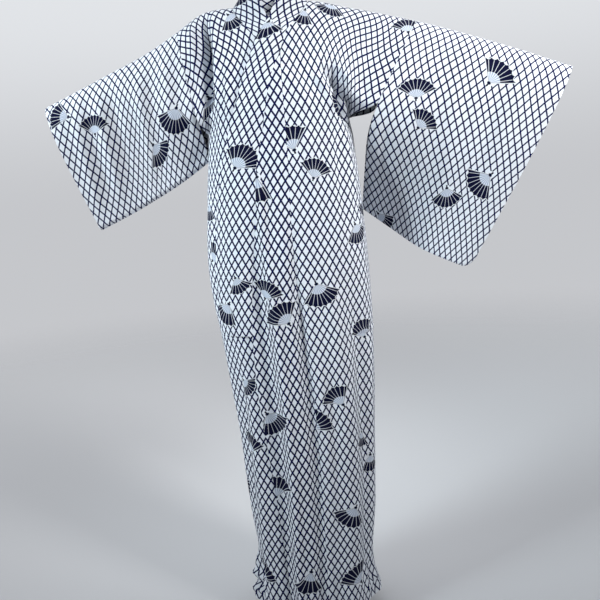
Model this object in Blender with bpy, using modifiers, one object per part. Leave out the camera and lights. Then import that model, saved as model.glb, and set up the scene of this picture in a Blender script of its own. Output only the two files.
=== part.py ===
"""Cotton yukata, closed left over right with no sash, held open as if worn.

Every piece is a sheet of cloth, so every solid is a thin wall on one shared body surface. A place on
that surface has two cloth coordinates: `across`, the way round the body from its front or back centre
line (positive towards the wearer's left), and `down`, the way down the cloth from the shoulder line.
The front faces -Y, +Z is up, and the origin lies between the two neck points on the shoulder line.
"""

import math
from collections import namedtuple

import bpy
import numpy as np

# Cloth
WALL = 0.0016
COLLAR_WALL = 0.0024
SEAM_GAP = 0.0003
LAYER = 0.0075

# The cut
BODY_LENGTH = 1.475
NECK_WIDTH = 0.088
NECK_BACK_DROP = 0.028
ARMHOLE_DEPTH = 0.22
SIDE_SEAM_TOP = 0.33
SLEEVE_WIDTH = 0.355
SLEEVE_DEPTH = 0.50
SLEEVE_CORNER = 0.03
COLLAR_TIP = -0.742
COLLAR_STANDS_OFF = 0.0018
OVERLAP_TIP = -0.128
OVERLAP_TIP_WIDTH = 0.002
SLEEVE_SEAM = 0.0006
SLEEVE_FOOT = 0.0016
WRIST_NARROWS = 0.30
THROAT = -0.052
NECK_FADES = 0.12

# The two sides: 1 is the wearer's left and -1 the right, where a drag fold takes up part of the shoulder
SHOULDER_WIDTH = {1: 0.335, -1: 0.232}
ARM_FALL = {1: math.radians(29.0), -1: math.radians(10.0)}

# The top fold of the cloth from the neck point out over the shoulder and arm to the wrist
TopPoint = namedtuple("TopPoint", "across x y z")
TOP_FOLD = {
    1: (
        TopPoint(across=0.000, x=0.000, y=0.000, z=0.000),
        TopPoint(across=0.088, x=0.088, y=0.000, z=0.000),
        TopPoint(across=0.190, x=0.186, y=-0.004, z=-0.026),
        TopPoint(across=0.335, x=0.322, y=-0.026, z=-0.070),
        TopPoint(across=0.510, x=0.480, y=-0.056, z=-0.133),
        TopPoint(across=0.692, x=0.638, y=-0.090, z=-0.205),
    ),
    -1: (
        TopPoint(across=0.000, x=0.000, y=0.000, z=0.000),
        TopPoint(across=0.088, x=-0.088, y=0.000, z=0.000),
        TopPoint(across=0.155, x=-0.152, y=-0.003, z=-0.006),
        TopPoint(across=0.232, x=-0.214, y=-0.014, z=-0.044),
        TopPoint(across=0.300, x=-0.272, y=-0.026, z=-0.080),
        TopPoint(across=0.440, x=-0.392, y=-0.048, z=-0.137),
        TopPoint(across=0.589, x=-0.522, y=-0.070, z=-0.196),
    ),
}

# How each sleeve hangs, at shares of its width from the armhole to the wrist: the lean towards the body
# and the swing to the back, in degrees, near the arm and near the foot
Hang = namedtuple("Hang", "share lean_top lean_foot swing_top swing_foot")
HANGS = {
    1: (
        Hang(share=0.0, lean_top=29, lean_foot=6, swing_top=0, swing_foot=37),
        Hang(share=0.3, lean_top=26, lean_foot=14, swing_top=2, swing_foot=24),
        Hang(share=0.6, lean_top=25, lean_foot=22, swing_top=3, swing_foot=9),
        Hang(share=1.0, lean_top=27, lean_foot=28, swing_top=4, swing_foot=5),
    ),
    -1: (
        Hang(share=0.0, lean_top=10, lean_foot=1, swing_top=0, swing_foot=-4),
        Hang(share=0.3, lean_top=10, lean_foot=10, swing_top=0, swing_foot=8),
        Hang(share=0.6, lean_top=14, lean_foot=14, swing_top=4, swing_foot=14),
        Hang(share=1.0, lean_top=16, lean_foot=17, swing_top=4, swing_foot=14),
    ),
}
HANG_TURNS_FROM = 0.17
HANG_TURNS_TO = 0.32

# Rows down a sleeve, closer over its top share, and those of the turned-up one's upper part and flap
TOP_SHARE = 0.16
TOP_ROWS = 6
SLEEVE_ROWS = 10
UPPER_SHARE = 0.5
UPPER_ROWS = 3
FLAP_ROWS = 7
HANG_SAMPLES = 99

# The right sleeve's foot is turned up behind it
TURN_UP_AT = 0.315
SLEEVE_NARROWS = 0.19
NARROWS_BY = 0.5
TURN_UP_LAYER = 0.0055

# The shoulders: cloth rolls over a round top and then falls at a steady lean
TOP_RADIUS = 0.038
FRONT_LEAN = 0.30
BACK_LEAN = 0.24
ARM_LEAN = 0.06
CHEST_HALF = 0.10
ROLL_SAMPLES = 33
NECK_BEHIND = 0.052
NECK_BEFORE = 0.026

# Level sections of the body below the arms. front and back are depths from the origin.
Ring = namedtuple("Ring", "z half_width front back centre")
RINGS = (
    Ring(z=-0.10, half_width=0.165, front=0.105, back=0.105, centre=0.003),
    Ring(z=-0.20, half_width=0.164, front=0.122, back=0.122, centre=0.003),
    Ring(z=-0.30, half_width=0.168, front=0.130, back=0.130, centre=0.001),
    Ring(z=-0.42, half_width=0.179, front=0.128, back=0.132, centre=-0.001),
    Ring(z=-0.58, half_width=0.190, front=0.124, back=0.140, centre=-0.002),
    Ring(z=-0.76, half_width=0.184, front=0.120, back=0.146, centre=0.006),
    Ring(z=-0.98, half_width=0.168, front=0.117, back=0.142, centre=0.014),
    Ring(z=-1.20, half_width=0.158, front=0.114, back=0.134, centre=0.014),
    Ring(z=-1.38, half_width=0.150, front=0.112, back=0.128, centre=0.011),
    Ring(z=-1.47, half_width=0.174, front=0.120, back=0.136, centre=0.011),
)
RING_POWER = 2.35
RING_REACH = 0.75 * math.pi
RING_SAMPLES = 241
SIDE_SAMPLES = 81
HEIGHT_SAMPLES = 800
PAST_HEM = 0.05
RING_STARTS = 0.17
RING_RULES = 0.35
CLOSE_ROWS_TO = 0.36
CLOSE_ROW = 0.026
OPEN_ROW = 0.062
SLEEVE_LOOP = 0.0355
NORMAL_STEP = 0.004
SEAM_STRIP = 0.004
SEAM_SHARE = 0.025
FRONT_COLUMNS = 9
OVERLAP_COLUMNS = 7

# Lines of the front, across from its centre: the overlap's seam, the collar's seam and the free edge
FrontLine = namedtuple("FrontLine", "z overlap_seam collar_seam edge")
FRONT_LINES = (
    FrontLine(z=0.000, overlap_seam=0.088, collar_seam=0.088, edge=0.030),
    FrontLine(z=-0.020, overlap_seam=0.079, collar_seam=0.079, edge=0.012),
    FrontLine(z=-0.050, overlap_seam=0.058, collar_seam=0.058, edge=-0.003),
    FrontLine(z=-0.080, overlap_seam=0.036, collar_seam=0.036, edge=-0.024),
    FrontLine(z=-0.120, overlap_seam=0.024, collar_seam=0.023, edge=-0.043),
    FrontLine(z=-0.180, overlap_seam=0.022, collar_seam=-0.003, edge=-0.067),
    FrontLine(z=-0.230, overlap_seam=0.021, collar_seam=-0.016, edge=-0.085),
    FrontLine(z=-0.290, overlap_seam=0.022, collar_seam=-0.029, edge=-0.108),
    FrontLine(z=-0.360, overlap_seam=0.023, collar_seam=-0.046, edge=-0.134),
    FrontLine(z=-0.465, overlap_seam=0.022, collar_seam=-0.056, edge=-0.158),
    FrontLine(z=-0.560, overlap_seam=0.022, collar_seam=-0.070, edge=-0.170),
    FrontLine(z=-0.660, overlap_seam=0.022, collar_seam=-0.085, edge=-0.182),
    FrontLine(z=-0.740, overlap_seam=0.024, collar_seam=-0.095, edge=-0.190),
    FrontLine(z=-0.900, overlap_seam=0.030, collar_seam=-0.100, edge=-0.100),
    FrontLine(z=-1.013, overlap_seam=0.031, collar_seam=-0.094, edge=-0.094),
    FrontLine(z=-1.223, overlap_seam=0.032, collar_seam=-0.077, edge=-0.077),
    FrontLine(z=-1.470, overlap_seam=0.034, collar_seam=-0.060, edge=-0.060),
)

# The left front's edge stands a little off, and the right front goes under the left one; each pair is a
# range across or down the front over which that starts or fades
EDGE_STANDS_OFF = 0.004
EDGE_FADES = (-0.20, -0.02)
EDGE_STARTS = (0.06, 0.20)
UNDER_STARTS = 0.10
UNDER_FADES = (-0.225, -0.165)

# The standing collar round the neck, from the throat to the nape: place of its free edge
NeckEdge = namedtuple("NeckEdge", "x y z")
NECK_EDGE = (
    NeckEdge(x=0.030, y=-0.066, z=0.010),
    NeckEdge(x=0.056, y=-0.024, z=0.042),
    NeckEdge(x=0.055, y=0.034, z=0.055),
    NeckEdge(x=0.032, y=0.072, z=0.055),
    NeckEdge(x=0.000, y=0.084, z=0.054),
)

# The collar's seam between throat and nape: distances down the front, then shares of the back neck's half
COLLAR_TURNS_AT = (0.045, 0.020)
NAPE_SHARES = (0.85, 0.4, 0.0)
COLLAR_COLUMNS = 5
NECKLINE_SHARES = (0.0, 0.1, 0.4, 0.75, 0.93)

# Folds down the cloth, from a top to a bottom height: how far across each starts and ends, its width, its
# height at the crest (a trough's is negative) and the share of it left at its bottom end
Fold = namedtuple("Fold", "top bottom start end width height foot")
LEFT_FOLDS = (
    Fold(top=-0.12, bottom=-0.31, start=0.136, end=0.210, width=0.021, height=-0.021, foot=0.0),
    Fold(top=-0.36, bottom=-1.60, start=-0.046, end=0.004, width=0.020, height=0.013, foot=1.0),
    Fold(top=-0.52, bottom=-1.12, start=0.036, end=0.046, width=0.020, height=-0.008, foot=1.0),
    Fold(top=-0.95, bottom=-1.60, start=0.130, end=0.110, width=0.030, height=0.008, foot=1.0),
)
RIGHT_FOLDS = (
    Fold(top=-0.02, bottom=-0.23, start=-0.148, end=-0.190, width=0.020, height=-0.020, foot=0.0),
    Fold(top=-0.52, bottom=-1.12, start=0.036, end=0.046, width=0.020, height=-0.008, foot=1.0),
    Fold(top=-0.90, bottom=-1.60, start=-0.150, end=-0.130, width=0.028, height=0.008, foot=1.0),
)
BACK_FOLDS = (
    Fold(top=-0.20, bottom=-1.60, start=0.070, end=0.090, width=0.030, height=0.010, foot=1.0),
    Fold(top=-0.35, bottom=-1.60, start=0.150, end=0.170, width=0.032, height=-0.008, foot=1.0),
    Fold(top=-0.25, bottom=-1.60, start=-0.080, end=-0.070, width=0.030, height=0.009, foot=1.0),
    Fold(top=-0.50, bottom=-1.60, start=-0.170, end=-0.150, width=0.030, height=-0.008, foot=1.0),
)

FOLD_RISES = 0.25
FOLD_FADES = 0.6

WHITE_COTTON = (0.80, 0.81, 0.86, 1.0)
COTTON_ROUGHNESS = 0.85


def smooth(start, end, value):
    """0 before start, 1 after end and an even S between them."""
    t = np.clip((np.asarray(value, float) - start) / (end - start), 0.0, 1.0)
    return t * t * (3.0 - 2.0 * t)


def column(rows, name, at, key="z"):
    """A named column of a table, read at any height by smooth steps between its rows."""
    places = np.array([getattr(row, key) for row in rows])
    values = np.array([getattr(row, name) for row in rows])
    order = np.argsort(places)
    places, values = places[order], values[order]
    slopes = np.gradient(values, places)
    at = np.clip(at, places[0], places[-1])
    low = np.clip(np.searchsorted(places, at) - 1, 0, len(places) - 2)
    span = places[low + 1] - places[low]
    t = (at - places[low]) / span
    high = low + 1
    eased = t * t * (3 - 2 * t)
    bend = t * (1 - t) * span * ((1 - t) * slopes[low] - t * slopes[high])
    return values[low] + eased * (values[high] - values[low]) + bend


def over_the_top(down, lean):
    """How far out and how far down cloth reaches that rolls from level, at the shoulder, to a steady lean."""
    way = np.asarray(down, float)[..., None] * np.linspace(0.0, 1.0, ROLL_SAMPLES)
    steep = np.arccos(np.asarray(lean, float))[..., None] * (1.0 - np.exp(-way / TOP_RADIUS))
    width = np.diff(way, axis=-1)
    middle = 0.5 * (steep[..., 1:] + steep[..., :-1])
    return (np.cos(middle) * width).sum(axis=-1), (np.sin(middle) * width).sum(axis=-1)


def height(down):
    """Height of the front's centre line at a distance down the cloth."""
    down = np.asarray(down, float)
    rolled = over_the_top(np.minimum(down, RING_RULES), FRONT_LEAN)[1]
    return -rolled - np.maximum(down - RING_RULES, 0.0)


def shoulder_line(across):
    """The fold of cloth over the shoulder and arm, from the centre out along the sleeve."""
    across = np.asarray(across, float)
    way = np.abs(across)
    left, right = ([column(TOP_FOLD[side], axis, way, "across") for axis in "xyz"] for side in (1, -1))
    return (np.where(across < 0, b, a) for a, b in zip(left, right))


def arm_share(across):
    """0 on the chest and 1 on the arm."""
    return smooth(CHEST_HALF, np.where(across < 0, SHOULDER_WIDTH[-1], SHOULDER_WIDTH[1]), np.abs(across))


def shoulder_surface(across, down, facing):
    """The cloth over the shoulders: facing is -1 in front and 1 behind."""
    across, down = np.broadcast_arrays(np.asarray(across, float), np.asarray(down, float))
    side = np.where(across < 0, -1, 1)
    x, y, z = shoulder_line(across)
    on_arm = arm_share(across)
    middle = 1.0 - smooth(0.0, NECK_WIDTH, np.abs(across))
    lean = FRONT_LEAN if facing < 0 else BACK_LEAN
    lean = lean + (ARM_LEAN - lean) * on_arm
    out, fall = over_the_top(down, lean)
    tilt = on_arm * np.where(side > 0, ARM_FALL[1], ARM_FALL[-1])
    x = x - side * fall * np.sin(tilt)
    z = z - fall * np.cos(tilt)
    y = y + facing * out + middle * (NECK_BEHIND if facing > 0 else -NECK_BEFORE)
    return np.stack([x, y, z], axis=-1)


def ring_outline(z, facing):
    """A level section of the body: distance round from its front or back centre, and x and y there."""
    angle = np.linspace(-RING_REACH, RING_REACH, RING_SAMPLES)
    half_width = column(RINGS, "half_width", z)
    near, far = (column(RINGS, name, z) for name in (("front", "back") if facing < 0 else ("back", "front")))
    depth = np.where(np.cos(angle) > 0, near, far)
    wide = half_width * np.sign(np.sin(angle)) * np.abs(np.sin(angle)) ** (2 / RING_POWER)
    deep = depth * np.sign(np.cos(angle)) * np.abs(np.cos(angle)) ** (2 / RING_POWER)
    length = np.concatenate([[0.0], np.cumsum(np.hypot(np.diff(wide), np.diff(deep)))])
    length = length - np.interp(0.0, angle, length)
    return length, wide + column(RINGS, "centre", z), facing * deep


def ring_surface(across, z, facing):
    """The body's level sections at one height a row, read at distances round them."""
    across, z = np.broadcast_arrays(np.asarray(across, float), np.asarray(z, float))
    points = np.empty(across.shape + (3,))
    for i, row in enumerate(across):
        length, x, y = ring_outline(z[i, 0], facing)
        points[i, :, 0] = np.interp(row, length, x)
        points[i, :, 1] = np.interp(row, length, y)
        points[i, :, 2] = z[i, 0]
    return points


def side_of_ring(z, facing):
    """Distance round from the front or back centre to the body's side."""
    angle = np.linspace(0.0, math.pi / 2, SIDE_SAMPLES)
    half_width = column(RINGS, "half_width", z)
    depth = column(RINGS, "front" if facing < 0 else "back", z)
    wide = half_width * np.sin(angle) ** (2 / RING_POWER)
    deep = depth * np.cos(angle) ** (2 / RING_POWER)
    return float(np.hypot(np.diff(wide), np.diff(deep)).sum())


def body_surface(across, down, facing):
    """The cloth's middle surface, before layers and folds move it, on a grid with one `down` a row."""
    across, down = np.broadcast_arrays(np.atleast_2d(across), np.atleast_2d(down))
    arm_waits = (ARMHOLE_DEPTH - RING_STARTS) * arm_share(across)
    ring_share = smooth(RING_STARTS + arm_waits, RING_RULES, down)[..., None]
    above = shoulder_surface(across, np.minimum(down, RING_RULES), facing)
    below = ring_surface(across, height(down), facing)
    return above * (1.0 - ring_share) + below * ring_share


def outer_edge(side, down, facing):
    """Distance across to the armhole, and below it to the side seam."""
    hip = side_of_ring(float(height(down)), facing)
    shoulder = SHOULDER_WIDTH[side]
    return shoulder + (hip - shoulder) * float(smooth(ARMHOLE_DEPTH, SIDE_SEAM_TOP, down))


def fold_height(folds, across, z):
    """Sum of the long folds at a place, each with a round crest and fading ends."""
    total = np.zeros(np.broadcast(across, z).shape)
    for fold in folds:
        along = (z - fold.top) / (fold.bottom - fold.top)
        centre = fold.start + (fold.end - fold.start) * along
        crest = np.exp(-(((across - centre) / fold.width) ** 2))
        fade = smooth(0.0, FOLD_RISES, along) * (1.0 - (1.0 - fold.foot) * smooth(FOLD_FADES, 1.0, along))
        total = total + fold.height * crest * fade
    return total


def outward(across, down, facing):
    """Unit normals of the body surface, away from the body."""
    down_before = np.maximum(down - NORMAL_STEP, 0.0)
    left, right = (body_surface(across + step, down, facing) for step in (NORMAL_STEP, -NORMAL_STEP))
    across_way = left - right
    down_way = body_surface(across, down + NORMAL_STEP, facing) - body_surface(across, down_before, facing)
    normal = facing * np.cross(across_way, down_way)
    return normal / np.linalg.norm(normal, axis=2, keepdims=True)


def front_lift(side, across, z):
    """How far a front lies outside the body surface: the left one over the right one."""
    if side > 0:
        edge = EDGE_STANDS_OFF * (1.0 - smooth(*EDGE_FADES, across)) * smooth(*EDGE_STARTS, -z)
        return edge + fold_height(LEFT_FOLDS, across, z)
    under = smooth(0.0, UNDER_STARTS, -z) * smooth(*UNDER_FADES, across)
    return -LAYER * under + fold_height(RIGHT_FOLDS, across, z)


def grid_piece(name, points, wall, closed=False):
    """A wall of even thickness on a grid of points, as one object."""
    rows, columns = points.shape[:2]
    faces = []
    last = columns if closed else columns - 1
    for i in range(rows - 1):
        for j in range(last):
            k = (j + 1) % columns
            faces.append((i * columns + j, i * columns + k, (i + 1) * columns + k, (i + 1) * columns + j))
    mesh = bpy.data.meshes.new(name)
    mesh.from_pydata(points.reshape(-1, 3).tolist(), [], faces)
    mesh.shade_smooth()
    piece = bpy.data.objects.new(name, mesh)
    robe.objects.link(piece)
    thicken = piece.modifiers.new("Thickness", "SOLIDIFY")
    thicken.thickness = wall
    thicken.offset = 0.0
    mesh.materials.append(cotton(name))


def cotton(name):
    """The matt cotton of one piece."""
    material = bpy.data.materials.new(name)
    material.use_nodes = True
    shader = material.node_tree.nodes["Principled BSDF"]
    shader.inputs["Base Color"].default_value = WHITE_COTTON
    shader.inputs["Roughness"].default_value = COTTON_ROUGHNESS
    shader.inputs["Metallic"].default_value = 0.0
    return material


def steps(start, end, spacing):
    """Even places from start to end, about `spacing` apart."""
    return np.linspace(start, end, max(2, int(round((end - start) / spacing)) + 1))


def panel_rows(start=0.0, end=BODY_LENGTH):
    """Distances down the cloth of the rows that every body piece shares, so that their seams meet."""
    close = steps(SEAM_STRIP, CLOSE_ROWS_TO, CLOSE_ROW)
    open_rows = steps(CLOSE_ROWS_TO, BODY_LENGTH, OPEN_ROW)[1:]
    rows = np.sort(np.concatenate([[SEAM_GAP / 2], close, open_rows, down_to([OVERLAP_TIP, COLLAR_TIP])]))
    return rows[(rows >= start) & (rows <= end)]


def shares(count):
    """Even shares of a panel's width, with one narrow strip along each seam."""
    return np.concatenate([[0.0], np.linspace(SEAM_SHARE, 1.0 - SEAM_SHARE, count - 2), [1.0]])


def strip(side, rows, inner, outer, share):
    """Points of a front strip between two lines, each a distance across at a height."""
    z = height(rows)
    across = inner[:, None] + (outer - inner)[:, None] * share[None, :]
    points = body_surface(across, rows[:, None], -1)
    return points + outward(across, rows[:, None], -1) * front_lift(side, across, z[:, None])[..., None]


def down_to(z):
    """Distance down the cloth to a height on the front's centre line."""
    down = np.linspace(0.0, BODY_LENGTH + PAST_HEM, HEIGHT_SAMPLES)
    return np.interp(-np.asarray(z, float), -height(down), down)


def collar_seam(z):
    """Where the collar is sewn on, across from the front's centre."""
    return column(FRONT_LINES, "collar_seam", z)


def overlap_seam(z):
    """Where the overlap, or above its point the collar, is sewn to the front."""
    return np.maximum(column(FRONT_LINES, "overlap_seam", z), collar_seam(z))


def make_front(side, name):
    """The front half of a body length, from the overlap's seam to the armhole and side seam."""
    rows = panel_rows()
    inner = side * (overlap_seam(height(rows)) + SEAM_GAP / 2)
    outer = side * (np.array([outer_edge(side, down, -1) for down in rows]) - SEAM_GAP / 2)
    grid_piece(name, strip(side, rows, inner, outer, shares(FRONT_COLUMNS)), WALL)


def make_overlap(side, name):
    """The overlap: a point at the collar's seam, widening to its full width at the collar's end."""
    rows = panel_rows(start=float(down_to(OVERLAP_TIP)))
    seam = overlap_seam(height(rows)) - SEAM_GAP / 2
    edge = np.minimum(collar_seam(height(rows)) + SEAM_GAP / 2, seam - OVERLAP_TIP_WIDTH)
    grid_piece(name, strip(side, rows, side * edge, side * seam, shares(OVERLAP_COLUMNS)), WALL)


def neckline(across):
    """How far down the back the neck is cut."""
    return NECK_BACK_DROP * np.sqrt(np.clip(1.0 - (across / NECK_WIDTH) ** 2, 0.0, 1.0))


def make_back(side, name):
    """The back half of a body length, from the centre seam and neck to the armhole and side seam."""
    rows = panel_rows()[:, None]
    outer = np.array([outer_edge(side, down, 1) for down in rows[:, 0]])[:, None] - SEAM_GAP / 2
    neck_share = NECK_WIDTH / SHOULDER_WIDTH[side]
    in_neck = neck_share * np.array(NECKLINE_SHARES)
    share = np.concatenate([in_neck, neck_share + (1.0 - neck_share) * shares(FRONT_COLUMNS)])
    across = side * (SEAM_GAP / 2 + (outer - SEAM_GAP / 2) * share[None, :])
    down = rows + neckline(across) * np.clip(1.0 - rows / NECK_FADES, 0.0, 1.0)
    lift = fold_height(BACK_FOLDS, across, height(rows))
    points = body_surface(across, down, 1) + outward(across, down, 1) * lift[..., None]
    grid_piece(name, points, WALL)


def collar_run(side):
    """Rows of the collar on one front, from its end up to the throat, across from seam to free edge."""
    rows = panel_rows(float(down_to(THROAT)), float(down_to(COLLAR_TIP)))[::-1]
    seam = collar_seam(height(rows)) - SEAM_GAP / 2
    edge = column(FRONT_LINES, "edge", height(rows))
    return strip(side, rows, side * seam, side * edge, np.linspace(0.0, 1.0, COLLAR_COLUMNS))


def collar_neck(side):
    """Rows of the standing collar on one side, from the throat to the nape, from seam to free edge."""
    seam = []
    for down in COLLAR_TURNS_AT:
        across = side * (float(collar_seam(height(down))) - COLLAR_STANDS_OFF)
        seam.append(body_surface(across, down, -1)[0, 0])
    for share in NAPE_SHARES:
        across = side * (NECK_WIDTH - COLLAR_STANDS_OFF) * share
        seam.append(body_surface(across, neckline(across) - COLLAR_STANDS_OFF, 1)[0, 0])
    free = np.array([(side * edge.x, edge.y, edge.z) for edge in NECK_EDGE])
    share = np.linspace(0.0, 1.0, COLLAR_COLUMNS)[None, :, None]
    return np.array(seam)[:, None] * (1.0 - share) + free[:, None] * share


def make_collar():
    """One folded strip: the left run, the standing stretch round the neck and the right run."""
    points = [collar_run(1), collar_neck(1), collar_neck(-1)[:-1][::-1], collar_run(-1)[::-1]]
    grid_piece("collar", np.concatenate(points), COLLAR_WALL)


def plain_section(depth):
    """Distances down a sleeve's cloth round one section, front layer then back, and each one's layer."""
    top, below = np.linspace(0.0, TOP_SHARE, TOP_ROWS), np.linspace(TOP_SHARE, 1.0, SLEEVE_ROWS)
    way = np.concatenate([top[:-1], below]) * depth
    sides = np.concatenate([-np.ones(len(way)), np.ones(len(way) - 1)])
    return np.concatenate([way, way[1:][::-1]]), sides, 0.0


def turned_up_section(depth):
    """The same with the foot turned up behind: front, round to the outer flap, inner flap, back."""
    flap_top = 2 * TURN_UP_AT - depth
    top, below = np.linspace(0.0, UPPER_SHARE, TOP_ROWS), np.linspace(UPPER_SHARE, 1.0, UPPER_ROWS)
    upper = np.concatenate([top[:-1], below]) * flap_top
    flap = np.linspace(flap_top, TURN_UP_AT, FLAP_ROWS)
    inside = np.minimum(flap, TURN_UP_AT - TURN_UP_LAYER)
    parts = (
        (np.concatenate([upper[:-1], flap]), -1.0, 0.0),
        (np.array([TURN_UP_AT + TURN_UP_LAYER]), 0.0, 1.0),
        (flap[::-1], 1.0, 2.0),
        (inside, 1.0, 1.0),
        (np.concatenate([inside[::-1], upper[1:-1][::-1]]), 1.0, 0.0),
    )
    ways, sides, layers = ([np.broadcast_to(part[i], part[0].shape) for part in parts] for i in range(3))
    return np.concatenate(ways), np.concatenate(sides), np.concatenate(layers) * TURN_UP_LAYER


def tube_half(way, share, foot):
    """Half the thickness of a sleeve, wide at the armhole and narrowing to the fold along its foot."""
    out = over_the_top(way, ARM_LEAN)[0] * (1.0 - WRIST_NARROWS * share)
    narrows_from = SLEEVE_NARROWS + (TOP_RADIUS - SLEEVE_NARROWS) * smooth(0.0, NARROWS_BY, share)
    return SLEEVE_FOOT + np.maximum(out - SLEEVE_FOOT, 0.0) * (1.0 - smooth(narrows_from, foot, way))


def layer_offset(way, share, foot):
    """How much farther apart layers lie, front to back, where the sleeve's back slants."""
    below, above = (tube_half(way + step, share, foot) for step in (NORMAL_STEP, -NORMAL_STEP))
    return np.hypot(1.0, (below - above) / (2 * NORMAL_STEP))


def hung(side, station, way):
    """Places down a sleeve's middle from its top fold, by the lean and swing of that station."""
    share = station / SLEEVE_WIDTH
    lean_top, lean_foot, swing_top, swing_foot = (
        math.radians(column(HANGS[side], name, share, "share")) for name in Hang._fields[1:]
    )
    fine = np.linspace(0.0, SLEEVE_DEPTH, HANG_SAMPLES)
    turn = smooth(HANG_TURNS_FROM, HANG_TURNS_TO, fine)
    lean = lean_top + (lean_foot - lean_top) * turn
    swing = swing_top + (swing_foot - swing_top) * turn
    towards = np.stack([-side * np.sin(lean) * np.cos(swing), np.sin(swing), -np.cos(lean) * np.cos(swing)])
    path = np.cumsum(towards * (fine[1] - fine[0]), axis=1) - towards[:, :1] * (fine[1] - fine[0])
    return np.stack([np.interp(way, fine, axis) for axis in path], axis=1)


def make_sleeve(side, name, section, foot):
    """A sleeve: a flat tube hung from the arm, open at the wrist, at the armhole and below it."""
    loops = []
    for station in steps(0.0, SLEEVE_WIDTH, SLEEVE_LOOP):
        past_corner = max(0.0, station - SLEEVE_WIDTH + SLEEVE_CORNER)
        depth = SLEEVE_DEPTH - SLEEVE_CORNER + math.sqrt(SLEEVE_CORNER**2 - past_corner**2)
        way, layer, extra = section(depth)
        across = side * (SHOULDER_WIDTH[side] + SLEEVE_SEAM + station)
        top = np.array([float(axis) for axis in shoulder_line(across)])
        points = top + hung(side, station, over_the_top(np.maximum(way, 0.0), ARM_LEAN)[1])
        share = station / SLEEVE_WIDTH
        half = np.where(way > 0.0, tube_half(np.minimum(way, foot), share, foot), 0.0)
        points[:, 1] += layer * half + extra * layer_offset(way, share, foot)
        loops.append(points)
    grid_piece(name, np.array(loops), WALL, closed=True)


def clear_scene():
    """Remove what the scene starts with."""
    for thing in list(bpy.data.objects):
        bpy.data.objects.remove(thing, do_unlink=True)


clear_scene()
robe = bpy.data.collections.new("cotton_yukata_robe")
bpy.context.scene.collection.children.link(robe)
make_front(1, "front_left")
make_front(-1, "front_right")
make_overlap(1, "okumi_left")
make_overlap(-1, "okumi_right")
make_back(1, "back_left")
make_back(-1, "back_right")
make_collar()
make_sleeve(1, "sleeve_left", plain_section, SLEEVE_DEPTH)
make_sleeve(-1, "sleeve_right", turned_up_section, TURN_UP_AT)
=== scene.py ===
"""Cotton yukata, closed left over right with no sash, held open as if worn.

Each piece of the cut is one fine sheet of cloth on the surface that its solid follows. A place on a sheet
has two cloth coordinates in metres: `across`, along the weft, and `down`, along the warp. The print, a
diamond net with scattered folding fans, is charted in the same coordinates, so it lies in the cloth and
breaks at the seams. The front faces -Y, +Z is up, and the origin lies between the two neck points.
"""

import logging
import math
from dataclasses import dataclass
from enum import Enum
from typing import Callable, Iterable, NamedTuple, NewType

import bpy
import numpy as np
from mathutils import Matrix


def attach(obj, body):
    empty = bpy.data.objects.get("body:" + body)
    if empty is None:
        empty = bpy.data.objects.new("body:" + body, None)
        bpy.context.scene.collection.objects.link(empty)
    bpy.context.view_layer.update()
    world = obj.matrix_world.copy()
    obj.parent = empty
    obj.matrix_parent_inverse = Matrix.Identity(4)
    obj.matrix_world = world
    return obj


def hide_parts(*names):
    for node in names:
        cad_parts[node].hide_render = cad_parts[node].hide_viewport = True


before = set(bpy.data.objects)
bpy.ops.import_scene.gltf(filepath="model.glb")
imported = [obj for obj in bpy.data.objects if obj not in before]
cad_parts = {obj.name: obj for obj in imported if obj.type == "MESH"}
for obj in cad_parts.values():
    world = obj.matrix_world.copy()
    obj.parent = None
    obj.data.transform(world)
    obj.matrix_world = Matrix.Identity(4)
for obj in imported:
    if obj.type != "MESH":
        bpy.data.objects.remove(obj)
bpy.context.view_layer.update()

Array = np.ndarray
Node = bpy.types.Node
Object = bpy.types.Object
Socket = bpy.types.NodeSocket
Pair = tuple[float, float]
Triple = tuple[float, float, float]
Metres = NewType("Metres", float)

log = logging.getLogger("yukata")
SEED = 11


class Side(Enum):
    """The wearer's own left and right."""

    LEFT = 1
    RIGHT = -1

    def named(self, piece: str) -> str:
        """The name of a piece on this side."""
        return f"{piece}_{self.name.lower()}"


class Facing(Enum):
    """Whether cloth lies over the front or the back of the body."""

    FRONT = -1
    BACK = 1


class TopPoint(NamedTuple):
    """A point of the fold over shoulder and arm, at a distance across the cloth."""

    across: Metres
    x: Metres
    y: Metres
    z: Metres


class Hang(NamedTuple):
    """Lean towards the body and swing to the back of a sleeve, in degrees, near the arm and near the foot."""

    share: float
    lean_top: float
    lean_foot: float
    swing_top: float
    swing_foot: float


class Ring(NamedTuple):
    """A level section of the body: half width, depths in front and behind, and its middle."""

    z: Metres
    half_width: Metres
    front: Metres
    back: Metres
    centre: Metres


class FrontLine(NamedTuple):
    """Distances across from the front's centre to the overlap's seam, the collar's seam and the free edge."""

    z: Metres
    overlap_seam: Metres
    collar_seam: Metres
    edge: Metres


class Fold(NamedTuple):
    """A fold down the cloth between two heights: width, height at its crest and share left at its foot."""

    top: Metres
    bottom: Metres
    across_top: Metres
    across_bottom: Metres
    width: Metres
    height: Metres
    foot: float


class Crease(NamedTuple):
    """A short soft ridge, or trough where its height is negative, between two places of the cloth."""

    across_from: Metres
    down_from: Metres
    across_to: Metres
    down_to: Metres
    width: Metres
    height: Metres


class Grain(NamedTuple):
    """A patch where the print's grain is turned, in degrees, and its repeat shortened down the cloth."""

    across: Metres
    down: Metres
    reach_across: Metres
    reach_down: Metres
    turn: float
    shorten: float


class Fan(NamedTuple):
    """A printed fan: its rivet's place, the way it points in degrees, its radius and half its opening."""

    across: Metres
    down: Metres
    turn: float
    radius: Metres
    half: float


class Scatter(NamedTuple):
    """Where fans are scattered on a piece: a seed, and the spans across and down."""

    seed: int
    across: Pair
    down: Pair


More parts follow.
